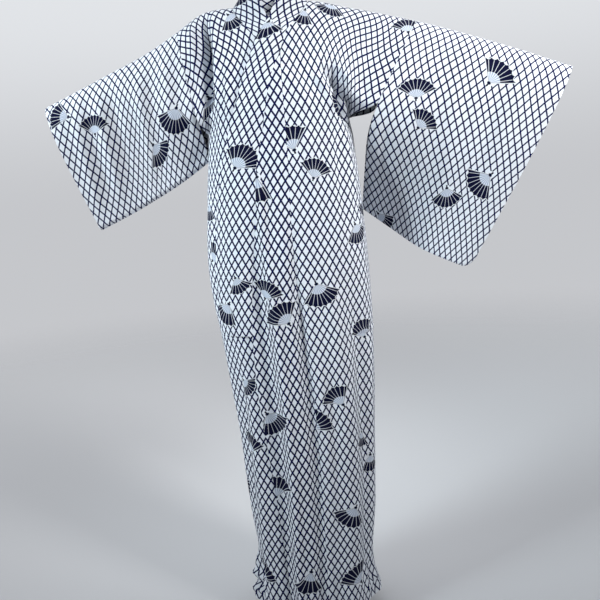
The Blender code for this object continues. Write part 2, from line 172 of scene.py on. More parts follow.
class Relief(NamedTuple):
    """One layer of the weave's relief: the scale and detail of its noise, and its stretch each way."""

    scale: float
    detail: float
    across: float
    down: float


def table(kind: type, *rows: tuple) -> tuple:
    """A table with a kind's fields in order as its columns.

    Args:
        kind: What each row is.
        rows: The rows. Fields that hold metres are given in millimetres.

    Returns:
        The rows as things of that kind.
    """
    units = [1000 if hint is Metres else 1 for hint in kind.__annotations__.values()]
    return tuple(kind(*(value / unit for value, unit in zip(row, units))) for row in rows)


# Sizes in metres and angles in radians: the cloth, the cut, the lie of it over shoulder, arm and neck, the
# body's sections, from where down they rule, and the grids' steps
WALL = 0.0016
COLLAR_WALL = 0.0024
SEAM_GAP = 0.0003
LAYER = 0.0075
BODY_LENGTH = 1.475
NECK_WIDTH = 0.088
NECK_BACK_DROP = 0.028
NECK_FADES = 0.12
ARMHOLE_DEPTH = 0.22
SIDE_SEAM_TOP = 0.33
COLLAR_TIP = -0.742
COLLAR_STANDS_OFF = 0.0018
OVERLAP_TIP = -0.128
OVERLAP_TIP_WIDTH = 0.002
THROAT = -0.052
SHOULDER_WIDTH = {Side.LEFT: 0.335, Side.RIGHT: 0.232}
ARM_FALL = {Side.LEFT: math.radians(29.0), Side.RIGHT: math.radians(10.0)}
TOP_RADIUS = 0.038
FRONT_LEAN = 0.30
BACK_LEAN = 0.24
ARM_LEAN = 0.06
NECK_BEHIND = 0.052
NECK_BEFORE = 0.026
RING_POWER = 2.35
RING_STARTS = 0.17
RING_RULES = 0.35
NORMAL_STEP = 0.004
CLOTH_STEP = 0.0043

# How much of a fold's extra cloth the net shows, less of it on the shoulder, from where to where down the
# cloth that share grows, and over how many rows each way it's evened out
GATHERED = 1.5
TOP_GATHERED = 0.4
GATHERS_OVER = (0.25, 0.45)
EVEN_ROWS = 9

# Where the standing collar is sewn on: distances down the front, and shares of the neck's width behind
NECK_SEAM_DOWN = (0.045, 0.020)
NECK_SEAM_BEHIND = (0.85, 0.4, 0.0)

# A sleeve's corners: their rounding, and the share of a layer's thickness that its turn takes up
CORNER = 0.002
TURN_SHARE = 0.6

# Which rows and columns of a sheet are sewn, and how far past the armhole and the collar's end that starts
HEM_ROW, CUFF_ROW, OPENING_ROW, EDGE_COLUMN = -4, -3, 2, 4
OPENING_STARTS, EDGE_STARTS = 0.02, 0.012

# Angle of the wall's edges in degrees, and a fan's heart on its axis in radii
SHARP_FROM = 55
FAN_HEART = 0.6

# Where the arm begins across the shoulder, and the shares of their length over which the folds and creases
# rise at their heads and fall at their feet
ARM_FROM = 0.10
FOLD_RISES, FOLD_FALLS = (0.0, 0.25), (0.6, 1.0)
CREASE_RISES, CREASE_FALLS = (-0.05, 0.3), (0.7, 1.05)

# How far the left front stands out along its free edge, where that is across and below the neck, and the same
# spans for the right front, which sinks by a layer under it
EDGE_STANDS = 0.004
EDGE_ACROSS, EDGE_BELOW = (-0.20, -0.02), (0.06, 0.20)
UNDER_ACROSS, UNDER_BELOW = (-0.225, -0.165), (0.0, 0.10)

# How near the shoulder line and the outer edge the waves and creases of the body's cloth fade
SHOULDER_FADES, SIDE_FADES = 0.035, 0.025

# Cloth that the turns of a turned-up foot take up, before and at its lowest line
TURN_TAKES, FOOT_TAKES = 0.010, 0.003

# Steps along a rolling fold, down the front, round a section, round a quarter of one and down a sleeve, and
# how far past the hem the front is measured
ROLL_STEPS, DOWN_STEPS, ROUND_STEPS, QUARTER_STEPS, SLEEVE_STEPS = 33, 800, 241, 81, 99
PAST_HEM = 0.05

TOP_FOLD = {
    Side.LEFT: table(
        TopPoint,
        (0, 0, 0, 0),
        (88, 88, 0, 0),
        (190, 186, -4, -26),
        (335, 322, -26, -70),
        (510, 480, -56, -133),
        (692, 638, -90, -205),
    ),
    Side.RIGHT: table(
        TopPoint,
        (0, 0, 0, 0),
        (88, -88, 0, 0),
        (155, -152, -3, -6),
        (232, -214, -14, -44),
        (300, -272, -26, -80),
        (440, -392, -48, -137),
        (589, -522, -70, -196),
    ),
}

RINGS = table(
    Ring,
    (-100, 165, 105, 105, 3),
    (-200, 164, 122, 122, 3),
    (-300, 168, 130, 130, 1),
    (-420, 179, 128, 132, -1),
    (-580, 190, 124, 140, -2),
    (-760, 184, 120, 146, 6),
    (-980, 168, 117, 142, 14),
    (-1200, 158, 114, 134, 14),
    (-1380, 150, 112, 128, 11),
    (-1470, 174, 120, 136, 11),
)

FRONT_LINES = table(
    FrontLine,
    (0, 88, 88, 30),
    (-20, 79, 79, 12),
    (-50, 58, 58, -3),
    (-80, 36, 36, -24),
    (-120, 24, 23, -43),
    (-180, 22, -3, -67),
    (-230, 21, -16, -85),
    (-290, 22, -29, -108),
    (-360, 23, -46, -134),
    (-465, 22, -56, -158),
    (-560, 22, -70, -170),
    (-660, 22, -85, -182),
    (-740, 24, -95, -190),
    (-900, 30, -100, -100),
    (-1013, 31, -94, -94),
    (-1223, 32, -77, -77),
    (-1470, 34, -60, -60),
)

# Places x, y, z of the standing collar's free edge, from the throat to the nape
NECK_EDGE = (
    (0.030, -0.066, 0.010),
    (0.056, -0.024, 0.042),
    (0.055, 0.034, 0.055),
    (0.032, 0.072, 0.055),
    (0.0, 0.084, 0.054),
)

FOLDS = {
    (Side.LEFT, Facing.FRONT): table(
        Fold,
        (-120, -310, 136, 210, 20, -27, 0.0),
        (-400, -1600, -67, -64, 15, -11, 1.0),
        (-360, -1600, -34, -34, 14, 16, 1.0),
        (-360, -1600, -8, -10, 24, 8, 1.0),
        (-400, -1600, 23, 17, 11, -12, 1.0),
        (-550, -1600, 98, 92, 24, 11, 1.0),
        (-550, -1600, 158, 150, 22, -14, 1.0),
    ),
    (Side.RIGHT, Facing.FRONT): table(
        Fold,
        (-20, -230, -148, -190, 20, -20, 0.0),
        (-400, -1600, -67, -64, 15, -11, 1.0),
        (-400, -1600, 23, 17, 11, -12, 1.0),
        (-550, -1600, 158, 150, 22, -14, 1.0),
        (-900, -1600, -150, -130, 24, 8, 1.0),
    ),
}
BACK_FOLDS = table(
    Fold,
    (-200, -1600, 70, 90, 30, 10, 1.0),
    (-350, -1600, 150, 170, 32, -8, 1.0),
    (-250, -1600, -80, -70, 30, 9, 1.0),
    (-500, -1600, -170, -150, 30, -8, 1.0),
)

# Small creases of the fronts, beyond the long folds: round the right shoulder, at the left armpit, over
# the chest, along the overlap's fold, down the skirt and at the hem
FRONT_CREASES = table(
    Crease,
    (-150, 15, -158, 150, 12, -14),
    (-157, 110, -190, 240, 14, -14),
    (-131, 25, -127, 185, 9, 6),
    (-184, 20, -206, 160, 11, 8),
    (-226, 70, -214, 200, 12, -9),
    (-110, 120, -125, 330, 10, -4),
    (-90, 100, -105, 300, 10, 3),
    (100, 188, 190, 250, 14, -18),
    (165, 232, 280, 266, 13, -13),
    (92, 205, 140, 300, 9, 8),
    (120, 172, 245, 205, 10, 7),
    (240, 170, 320, 225, 11, -5),
    (35, 174, 118, 270, 9, -4),
    (20, 195, 90, 300, 10, 4),
    (26, 90, 40, 180, 7, -4),
    (8, 100, 12, 190, 8, 3),
    (165, 330, 192, 500, 11, 6),
    (140, 320, 150, 560, 12, -5),
    (70, 300, 74, 560, 14, 3),
    (-42, 400, -42, 640, 8, 6),
    (-28, 400, -28, 640, 9, -5),
    (-80, 620, -86, 1300, 12, -4),
    (18, 700, 8, 1060, 8, -5),
    (50, 820, 52, 1260, 13, 5),
    (76, 840, 70, 1200, 12, -4),
    (120, 810, 112, 1400, 14, 5),
    (185, 860, 170, 1300, 14, 5),
    (95, 794, 260, 794, 4.5, 3),
    (95, 804, 260, 804, 4.5, -3),
    (-205, 800, -190, 1300, 13, 5),
    (-160, 820, -150, 1400, 12, -6),
    (-125, 860, -118, 1400, 12, 5),
    (-192, 1350, -176, 1500, 11, 13),
    (-156, 1360, -146, 1500, 10, -11),
    (-118, 1370, -104, 1500, 10, 7),
    (-215, 1412, -120, 1428, 6, 9),
    (-205, 1436, -125, 1440, 6, -9),
    (-200, 1456, -130, 1452, 5, 7),
    (-30, 1380, -26, 1500, 10, 5),
    (60, 1380, 66, 1500, 12, -5),
    (140, 1360, 150, 1500, 10, 8),
    (170, 1380, 184, 1500, 10, -7),
    (120, 1450, 210, 1440, 6, 5),
)

GRAINS = {
    "front_left": table(Grain, (230, 90, 120, 120, -22, 0.25)),
    "front_right": table(
        Grain,
        (-100, 90, 80, 130, 20, 0.00),
        (-230, 90, 120, 170, 5, 0.15),
    ),
    "sleeve_left": table(Grain, (60, 60, 110, 110, -8, 0.15)),
    "sleeve_right": table(Grain, (60, 90, 120, 140, 10, 0.15)),
}

FANS = {
    "front_left": table(
        Fan,
        (79, 56, -107, 42, 36),
        (330, 57, 121, 43, 52),
        (140, 22, -104, 42, 56),
        (180, 266, -152, 52, 50),
        (38, 378, 106, 54, 45),
        (76, 440, 71, 44, 56),
        (176, 548, -67, 46, 56),
        (234, 490, -100, 45, 50),
        (66, 673, -72, 54, 54),
        (180, 812, 110, 45, 53),
        (93, 956, 123, 46, 50),
        (15, 1012, 40, 53, 43),
        (152, 1043, -104, 38, 40),
        (172, 1106, -88, 44, 40),
        (105, 1215, -121, 52, 53),
        (115, 1416, 121, 53, 53),
    ),
    "okumi_left": table(
        Fan,
        (-47, 429, -84, 56, 24),
        (-53, 698, 65, 44, 56),
        (-6, 757, 123, 52, 56),
        (-86, 974, -57, 54, 56),
        (-84, 1182, 76, 53, 46),
        (-6, 1367, -103, 57, 36),
    ),
    "front_right": table(
        Fan,
        (-192, 206, -68, 52, 55),
        (-93, 47, -48, 43, 62),
        (-205, 478, -85, 42, 28),
        (-200, 610, 40, 46, 50),
        (-250, 740, 150, 48, 50),
        (-146, 896, -42, 40, 52),
        (-153, 1080, 69, 53, 42),
        (-228, 1180, -30, 47, 50),
        (-150, 1415, 60, 50, 52),
    ),
    "collar": table(
        Fan,
        (-4, 354, 61, 54, 64),
        (-23, 20, -86, 50, 58),
        (10, 600, -66, 40, 46),
        (-9, 661, -121, 54, 50),
        (-10, -345, 90, 50, 50),
    ),
    "sleeve_left": table(
        Fan,
        (67, 190, 108, 44, 62),
        (94, 247, 71, 41, 56),
        (198, 114, 69, 55, 52),
        (288, 291, -121, 56, 55),
        (202, 349, -65, 46, 60),
        (48, 484, -29, 48, 50),
    ),
    "sleeve_right": table(
        Fan,
        (128, 211, -114, 49, 54),
        (262, 128, 111, 41, 62),
        (40, 177, -51, 51, 64),
        (305, 68, 33, 48, 42),
    ),
}

LEFT_HANGS = table(
    Hang,
    (0.0, 29, 6, 0, 37),
    (0.3, 26, 14, 2, 24),
    (0.6, 25, 22, 3, 9),
    (1.0, 27, 28, 4, 5),
)
RIGHT_HANGS = table(
    Hang,
    (0.0, 10, 1, 0, -4),
    (0.3, 10, 10, 0, 8),
    (0.6, 14, 14, 4, 14),
    (1.0, 16, 17, 4, 14),
)
LEFT_SLEEVE_CREASES = table(
    Crease,
    (10, 230, 30, 480, 10, 6),
    (30, 250, 60, 480, 11, -5),
    (62, 290, 95, 500, 12, 4),
    (20, 20, 60, 160, 13, -3),
    (120, 20, 150, 240, 18, 3),
    (230, 60, 255, 400, 20, -3),
)
RIGHT_SLEEVE_CREASES = table(
    Crease,
    (214, 30, 275, 300, 12, 6),
    (180, 40, 240, 300, 12, -5),
    (248, 30, 310, 300, 13, -6),
    (290, 60, 335, 300, 12, 4),
    (109, 50, 160, 290, 13, 5),
    (75, 40, 120, 290, 13, -4),
    (38, 40, 70, 250, 12, 5),
    (10, 80, 40, 280, 11, -5),
)

# Where fans are scattered instead of placed: the backs, the lower overlap, the backs of the sleeves and the
# rest of the collar
HIDDEN_FANS = {
    "okumi_right": Scatter(3, (-0.03, 0.10), (0.30, 1.4)),
    "back_left": Scatter(4, (0.02, 0.30), (0.06, 1.4)),
    "back_right": Scatter(5, (-0.28, -0.02), (0.06, 1.4)),
    "collar": Scatter(6, (-0.01, 0.03), (-2.0, -0.54)),
    "sleeve_left": Scatter(7, (0.03, 0.33), (-0.47, -0.05)),
    "sleeve_right": Scatter(8, (0.03, 0.33), (-0.47, -0.05)),
}

# A cell that holds one scattered fan, where in it that lies, how far every other row of cells is moved, and
# the spans of its radius and of half its opening
FAN_CELL = (0.118, 0.130)
FAN_WANDERS = (0.3, 0.7)
FAN_STAGGER = 0.4
FAN_RADII = (0.042, 0.053)
FAN_HALVES = (47, 58)


def smooth(start: float, end: float, value: Array) -> Array:
    """0 before start, 1 after end and an even S between them."""
    t = np.clip((np.asarray(value, float) - start) / (end - start), 0.0, 1.0)
    return t * t * (3.0 - 2.0 * t)


def eased(places: Array, values: Array, at: Array) -> Array:
    """Values read between their places by smooth steps that keep their slopes.

    Args:
        places: Places in rising order.
        values: Their values, one or a row for each.
        at: Places to read.

    Returns:
        The values there.
    """
    slopes = np.gradient(values, places, axis=0)
    low = np.clip(np.searchsorted(places, at) - 1, 0, len(places) - 2)
    high = low + 1
    span, t = places[high] - places[low], at - places[low]
    if values.ndim > 1:
        span, t = span[:, None], t[:, None]
    t = t / span
    bend = t * (1 - t) * span * ((1 - t) * slopes[low] - t * slopes[high])
    return values[low] + t * t * (3 - 2 * t) * (values[high] - values[low]) + bend


def column(rows: tuple, name: str, at: Array, key: str = "z") -> Array:
    """A named column of a table, read at any place by smooth steps between its rows.

    Args:
        rows: The table.
        name: The column to read.
        at: Places to read it at.
        key: The column that gives each row's place.

    Returns:
        The column's values at those places.
    """
    places, values = np.array(sorted((getattr(row, key), getattr(row, name)) for row in rows)).T
    return eased(places, values, np.clip(at, places[0], places[-1]))


def through(points: Array, at: Array) -> Array:
    """Places along a smooth curve through points, at shares of its length."""
    length = lengths(points)
    return eased(length, points, np.clip(at, 0.0, 1.0) * length[-1])


def lengths(points: Array) -> Array:
    """Distance along a path to each of its points."""
    return np.concatenate([[0.0], np.cumsum(np.linalg.norm(np.diff(points, axis=0), axis=1))])


def over_the_top(down: Array, lean: Array) -> tuple[Array, Array]:
    """How far out and how far down cloth reaches that rolls from level, at the shoulder, to a steady lean.

    Args:
        down: Distances down the cloth.
        lean: How far out a metre of steady cloth reaches.

    Returns:
        Distances out and down.
    """
    way = np.asarray(down, float)[..., None] * np.linspace(0.0, 1.0, ROLL_STEPS)
    steep = np.arccos(np.asarray(lean, float))[..., None] * (1.0 - np.exp(-way / TOP_RADIUS))
    width = np.diff(way, axis=-1)
    middle = 0.5 * (steep[..., 1:] + steep[..., :-1])
    return (np.cos(middle) * width).sum(axis=-1), (np.sin(middle) * width).sum(axis=-1)


def steps(start: float, end: float, spacing: float = CLOTH_STEP) -> Array:
    """Even places from start to end, about `spacing` apart."""
    return np.linspace(start, end, max(2, int(round((end - start) / spacing)) + 1))


@dataclass(frozen=True)
class Waves:
    """Small uneven waves of hanging cloth: a sum of seeded ripples, longer down the cloth than across it.

    Attributes:
        seed: Seed of the ripples' lengths, ways and phases.
        height: Height that the sum seldom passes.
        across: Shortest and longest ripple across the cloth.
        stretch: How many times longer a ripple is down the cloth.
        count: How many ripples.
    """

    seed: int = SEED
    height: float = 0.0016
    across: Pair = (0.05, 0.16)
    stretch: float = 2.6
    count: int = 14

    def lift(self, across: Array, down: Array) -> Array:
        """Height of the waves at places of the cloth.

        Args:
            across: Distances across the cloth.
            down: Distances down the cloth.

        Returns:
            Heights there.
        """
        random = np.random.default_rng(self.seed)
        length = random.uniform(*self.across, self.count)
        lean = random.uniform(-1.0, 1.0, self.count)
        phase = random.uniform(0.0, math.tau, self.count)
        total = np.zeros(np.broadcast(across, down).shape)
        for size, slant, start in zip(length, lean, phase):
            total = total + np.sin(math.tau * (across + slant * down / self.stretch) / size + start) * size
        return total * self.height / (self.across[1] * math.sqrt(self.count / 2))


def crease_lift(creases: tuple[Crease, ...], across: Array, down: Array) -> Array:
    """Sum of the creases at places of the cloth, each with round flanks and fading ends.

    Args:
        creases: The creases.
        across: Distances across the cloth.
        down: Distances down the cloth.

    Returns:
        Heights, negative in a trough.
    """
    total = np.zeros(np.broadcast(across, down).shape)
    for crease in creases:
        way = np.array([crease.across_to - crease.across_from, crease.down_to - crease.down_from])
        length = float(np.hypot(*way))
        unit = way / length
        off_across, off_down = across - crease.across_from, down - crease.down_from
        along = (off_across * unit[0] + off_down * unit[1]) / length
        aside = off_across * unit[1] - off_down * unit[0]
        fade = smooth(*CREASE_RISES, along) * (1.0 - smooth(*CREASE_FALLS, along))
        total = total + crease.height * np.exp(-((aside / crease.width) ** 2)) * fade
    return total


class BodyForm:
    """The body surface that the fronts, backs and collar lie on."""

    def height(self, down: Array) -> Array:
        """Height of the front's centre line at a distance down the cloth.

        Args:
            down: Distances down the cloth.

        Returns:
            Heights, 0 at the shoulder.
        """
        down = np.asarray(down, float)
        rolled = over_the_top(np.minimum(down, RING_RULES), FRONT_LEAN)[1]
        return -rolled - np.maximum(down - RING_RULES, 0.0)

    def down_to(self, z: float) -> float:
        """Distance down the cloth to a height on the front's centre line."""
        down = np.linspace(0.0, BODY_LENGTH + PAST_HEM, DOWN_STEPS)
        return float(np.interp(-z, -self.height(down), down))

    def shoulder_line(self, across: Array) -> list[Array]:
        """The fold of cloth over the shoulder and arm, from the centre out along the sleeve.

        Args:
            across: Distances across the cloth.

        Returns:
            x, y and z there.
        """
        across = np.asarray(across, float)
        way = np.abs(across)
        ends = [[column(TOP_FOLD[side], axis, way, "across") for axis in "xyz"] for side in Side]
        return [np.where(across < 0, right, left) for left, right in zip(*ends)]

    def arm_share(self, across: Array) -> Array:
        """0 on the chest and 1 on the arm."""
        shoulder = np.where(across < 0, SHOULDER_WIDTH[Side.RIGHT], SHOULDER_WIDTH[Side.LEFT])
        return smooth(ARM_FROM, shoulder, np.abs(across))

    def shoulder_surface(self, across: Array, down: Array, facing: Facing) -> Array:
        """The cloth over the shoulders.

        Args:
            across: Distances across the cloth.
            down: Distances down the cloth.
            facing: Over the front or the back of the body.

        Returns:
            Places there.
        """
        side = np.where(across < 0, -1, 1)
        x, y, z = self.shoulder_line(across)
        on_arm = self.arm_share(across)
        middle = 1.0 - smooth(0.0, NECK_WIDTH, np.abs(across))
        front = facing is Facing.FRONT
        lean = FRONT_LEAN if front else BACK_LEAN
        lean = lean + (ARM_LEAN - lean) * on_arm
        out, fall = over_the_top(down, lean)
        tilt = on_arm * np.where(side > 0, ARM_FALL[Side.LEFT], ARM_FALL[Side.RIGHT])
        x = x - side * fall * np.sin(tilt)
        z = z - fall * np.cos(tilt)
        y = y + facing.value * out + middle * (-NECK_BEFORE if front else NECK_BEHIND)
        return np.stack([x, y, z], axis=-1)

    def oval(self, angle: Array, z: float, facing: Facing) -> Array:
        """How far to the side and outwards a level section is, at angles from its front or back centre.

        Args:
            angle: Angles.
            z: Height of the section.
            facing: Over the front or the back of the body.

        Returns:
            The two distances.
        """
        names = ("front", "back") if facing is Facing.FRONT else ("back", "front")
        near, far = (column(RINGS, name, z) for name in names)
        reach = (column(RINGS, "half_width", z), np.where(np.cos(angle) > 0, near, far))
        turns = (np.sin(angle), np.cos(angle))
        return np.array([r * np.sign(t) * np.abs(t) ** (2 / RING_POWER) for r, t in zip(reach, turns)])

    def ring_outline(self, z: float, facing: Facing) -> tuple[Array, Array, Array]:
        """A level section: distance round from its front or back centre, and x and y there.

        Args:
            z: Height of the section.
            facing: Over the front or the back of the body.

        Returns:
            The three, place by place round the section.
        """
        angle = np.linspace(-0.75 * math.pi, 0.75 * math.pi, ROUND_STEPS)
        wide, deep = self.oval(angle, z, facing)
        length = np.concatenate([[0.0], np.cumsum(np.hypot(np.diff(wide), np.diff(deep)))])
        length = length - np.interp(0.0, angle, length)
        return length, wide + column(RINGS, "centre", z), facing.value * deep

    def ring_surface(self, across: Array, z: Array, facing: Facing) -> Array:
        """The body's level sections at one height a row, read at distances round them.

        Args:
            across: Distances round.
            z: Heights.
            facing: Over the front or the back of the body.

        Returns:
            Places there.
        """
        across, z = np.broadcast_arrays(across, z)
        points = np.empty(across.shape + (3,))
        for i, row in enumerate(across):
            length, x, y = self.ring_outline(z[i, 0], facing)
            points[i, :, 0] = np.interp(row, length, x)
            points[i, :, 1] = np.interp(row, length, y)
            points[i, :, 2] = z[i, 0]
        return points

    def side_of_ring(self, z: float, facing: Facing) -> float:
        """Distance round from the front or back centre to the body's side."""
        wide, deep = self.oval(np.linspace(0.0, 0.5 * math.pi, QUARTER_STEPS), z, facing)
        return float(np.hypot(np.diff(wide), np.diff(deep)).sum())

    def surface(self, across: Array, down: Array, facing: Facing) -> Array:
        """The cloth's middle surface, before layers and folds move it, on a grid with one `down` a row.

        Args:
            across: Distances across the cloth.
            down: Distances down the cloth.
            facing: Over the front or the back of the body.

        Returns:
            Places there.
        """
        across, down = np.broadcast_arrays(np.atleast_2d(across), np.atleast_2d(down))
        arm_waits = (ARMHOLE_DEPTH - RING_STARTS) * self.arm_share(across)
        ring_share = smooth(RING_STARTS + arm_waits, RING_RULES, down)[..., None]
        above = self.shoulder_surface(across, np.minimum(down, RING_RULES), facing)
        below = self.ring_surface(across, self.height(down), facing)
        return above * (1.0 - ring_share) + below * ring_share

    def outward(self, across: Array, down: Array, facing: Facing) -> Array:
        """Unit normals of the surface, away from the body.

        Args:
            across: Distances across the cloth.
            down: Distances down the cloth.
            facing: Over the front or the back of the body.

        Returns:
            A normal for each place.
        """
        before = np.maximum(down - NORMAL_STEP, 0.0)
        ahead, behind = (self.surface(across + step, down, facing) for step in (NORMAL_STEP, -NORMAL_STEP))
        down_way = self.surface(across, down + NORMAL_STEP, facing) - self.surface(across, before, facing)
        normal = facing.value * np.cross(ahead - behind, down_way)
        return normal / np.linalg.norm(normal, axis=2, keepdims=True)

    def outer_edge(self, side: Side, down: float, facing: Facing) -> float:
        """Distance across to the armhole, and below it to the side seam.

        Args:
            side: The wearer's left or right.
            down: Distance down the cloth.
            facing: Over the front or the back of the body.

        Returns:
            The distance.
        """
        hip = self.side_of_ring(float(self.height(down)), facing)
        shoulder = SHOULDER_WIDTH[side]
        return shoulder + (hip - shoulder) * float(smooth(ARMHOLE_DEPTH, SIDE_SEAM_TOP, down))

    def fold_lift(self, folds: tuple[Fold, ...], across: Array, down: Array) -> Array:
        """Sum of the long folds at places of the cloth.

        Args:
            folds: The folds.
            across: Distances across the cloth.
            down: Distances down the cloth.

        Returns:
            Heights, negative in a trough.
        """
        z = self.height(down)
        total = np.zeros(np.broadcast(across, z).shape)
        for fold in folds:
            along = (z - fold.top) / (fold.bottom - fold.top)
            centre = fold.across_top + (fold.across_bottom - fold.across_top) * along
            fade = smooth(*FOLD_RISES, along) * (1.0 - (1.0 - fold.foot) * smooth(*FOLD_FALLS, along))
            total = total + fold.height * np.exp(-(((across - centre) / fold.width) ** 2)) * fade
        return total

    def front_lift(self, side: Side, across: Array, down: Array) -> Array:
        """How far a front lies outside the body surface: the left one over the right one.

        Args:
            side: The wearer's left or right.
            across: Distances across the cloth.
            down: Distances down the cloth.

        Returns:
            Heights over the surface.
        """
        z = self.height(down)
        folds = self.fold_lift(FOLDS[side, Facing.FRONT], across, down)
        if side is Side.LEFT:
            return folds + EDGE_STANDS * (1.0 - smooth(*EDGE_ACROSS, across)) * smooth(*EDGE_BELOW, -z)
        return folds - LAYER * smooth(*UNDER_BELOW, -z) * smooth(*UNDER_ACROSS, across)

    def collar_seam(self, down: Array) -> Array:
        """Where the collar is sewn on, across from the front's centre."""
        return column(FRONT_LINES, "collar_seam", self.height(down))

    def overlap_seam(self, down: Array) -> Array:
        """Where the overlap, or above its point the collar, is sewn to the front."""
        return np.maximum(column(FRONT_LINES, "overlap_seam", self.height(down)), self.collar_seam(down))


class Line(NamedTuple):
    """A line to sew along: its places and the cloth's normals there."""

    points: Array
    normals: Array


@dataclass
class Sheet:
    """One piece of cloth as a grid of places with their cloth coordinates.

    Attributes:
        name: The solid that the piece stands for.
        points: Places of the cloth's middle surface, rows by columns.
        cloth: Cloth coordinates of the same places, across and down.
        wall: Thickness of the cloth.
        closed: Whether the last column meets the first.
    """

    name: str
    points: Array
    cloth: Array
    wall: float = WALL
    closed: bool = False

    def flat_size(self) -> Pair:
        """Width and length of the cut that shows."""
        low, high = self.cloth.min(axis=(0, 1)), self.cloth.max(axis=(0, 1))
        return float(high[0] - low[0]), float(high[1] - low[1])

    def flat_area(self) -> float:
        """Area of the cut that shows.

        Returns:
            The area in square metres.
        """
        c = self.cloth
        one, two = c[1:, 1:] - c[:-1, :-1], c[1:, :-1] - c[:-1, 1:]
        return float(np.abs(one[..., 0] * two[..., 1] - one[..., 1] * two[..., 0]).sum() / 2)

    def normals(self) -> Array:
        """Unit normals of the grid.

        Returns:
            A normal for each place of the grid.
        """
        if self.closed:
            wide = np.roll(self.points, -1, axis=1) - np.roll(self.points, 1, axis=1)
        else:
            wide = np.gradient(self.points, axis=1)
        normal = np.cross(wide, np.gradient(self.points, axis=0))
        return normal / np.maximum(np.linalg.norm(normal, axis=2, keepdims=True), 1e-12)

    def worn(self) -> Array:
        """Cloth coordinates for the net: on the body's strips, the distance across follows the long folds.

        Returns:
            Coordinates for each place of the grid.
        """
        worn = self.cloth.copy()
        if not self.closed:
            plain = np.diff(self.cloth[..., 0], axis=1)
            more = GATHERED * (np.linalg.norm(np.diff(self.points, axis=1), axis=2) - np.abs(plain))
            more *= TOP_GATHERED + (1.0 - TOP_GATHERED) * smooth(*GATHERS_OVER, self.cloth[:, 1:, 1])
            padded = np.pad(more * np.sign(plain), ((EVEN_ROWS, EVEN_ROWS), (0, 0)), mode="edge")
            windows = np.lib.stride_tricks.sliding_window_view(padded, 2 * EVEN_ROWS + 1, axis=0)
            worn[:, 1:, 0] += np.cumsum(windows.mean(axis=-1), axis=1)
        return worn

    def printed(self, places: Array, worn: Array) -> Array:
        """Places of the net on this piece, turned and shortened where its grain is drawn.

        Args:
            places: Cloth coordinates.
            worn: Coordinates for the net.

        Returns:
            Coordinates for the net, turned and shortened.
        """
        printed = worn.copy()
        for grain in GRAINS.get(self.name, ()):
            off = places - (grain.across, grain.down)
            reach = np.sqrt((off[..., 0] / grain.reach_across) ** 2 + (off[..., 1] / grain.reach_down) ** 2)
            share = np.exp(-(reach**2))
            angle = np.radians(grain.turn) * share
            along = off[..., 1] * (1.0 + grain.shorten * share)
            printed[..., 0] += off[..., 0] * np.cos(angle) - along * np.sin(angle) - off[..., 0]
            printed[..., 1] += off[..., 0] * np.sin(angle) + along * np.cos(angle) - off[..., 1]
        return printed

    def build(self, material: bpy.types.Material, fans: tuple[Fan, ...]) -> Object:
        """The sheet as a thin closed wall, with its cloth coordinates and the nearest fan's in each face.

        Args:
            material: The printed cotton.
            fans: Fans printed on this piece.

        Returns:
            The new object, at the origin.
        """
        rows, columns = self.points.shape[:2]
        far = rows * columns
        shift = self.normals() * self.wall / 2
        vertices = np.concatenate([(self.points + move).reshape(-1, 3) for move in (-shift, shift)])
        across = np.arange(columns if self.closed else columns - 1)
        i, j = (grid.ravel() for grid in np.meshgrid(np.arange(rows - 1), across, indexing="ij"))
        k = (j + 1) % columns
        above, below = i * columns, (i + 1) * columns
        quads = np.stack([above + j, above + k, below + k, below + j], axis=1)
        rims = [(rim[:-1], rim[1:]) for rim in self.rims(rows, columns)]
        edges = [np.stack([one, two, two + far, one + far], axis=1) for one, two in rims]
        faces = np.concatenate([quads[:, ::-1], quads + far, *edges])
        wraps = np.flatnonzero(np.tile((k == 0) & self.closed, 2))
        places, worn = (self.at_corners(values, faces % far, wraps) for values in (self.cloth, self.worn()))
        mesh = bpy.data.meshes.new(self.name + "_cloth")
        mesh.from_pydata(vertices.tolist(), [], faces.tolist())
        for layer, given in (("Cloth", places), ("Net", self.printed(places, worn))):
            mesh.uv_layers.new(name=layer).data.foreach_set("uv", given.ravel())
        attribute = mesh.attributes.new("fan", "FLOAT_VECTOR", "CORNER")
        attribute.data.foreach_set("vector", fan_places(places, fans).ravel())
        mesh.shade_smooth()
        mesh.set_sharp_from_angle(angle=math.radians(SHARP_FROM))
        mesh.materials.append(material)
        return in_scene(mesh.name, mesh)

    def at_corners(self, values: Array, faces: Array, wraps: Array) -> Array:
        """Values of the grid's places at every corner of every face, unbroken where a tube closes.

        Args:
            values: Values for each place.
            faces: Places of each face's corners.
            wraps: Faces on both sides of a tube's close.

        Returns:
            Values for each corner.
        """
        corners = values.reshape(-1, 2)[faces]
        corners[wraps, 1], corners[wraps, 2] = corners[wraps, 0], corners[wraps, 3]
        return corners

    def row_line(self, row: int) -> Line:
        """A line to sew along one row of the grid, all round on a tube."""
        line = Line(self.points[row], self.normals()[row])
        return Line(*(np.concatenate([part, part[:1]]) for part in line)) if self.closed else line

    def column_line(self, column: int, below: float) -> Line:
        """A line to sew along one column of the grid, below a distance down the cloth."""
        rows = self.cloth[:, column, 1] > below
        return Line(self.points[rows, column], self.normals()[rows, column])

    def opening_line(self, row: int, below: float) -> Line:
        """A line to sew along the part of a tube's row that lies below a distance down, round its foot.

        Args:
            row: The row.
            below: Distance down from which it is sewn.

        Returns:
            The line.
        """
        low = np.abs(self.cloth[row, :, 1]) > below
        order = np.roll(np.arange(len(low)), -int(np.argmin(low)))
        order = order[low[order]]
        return Line(self.points[row, order], self.normals()[row, order])

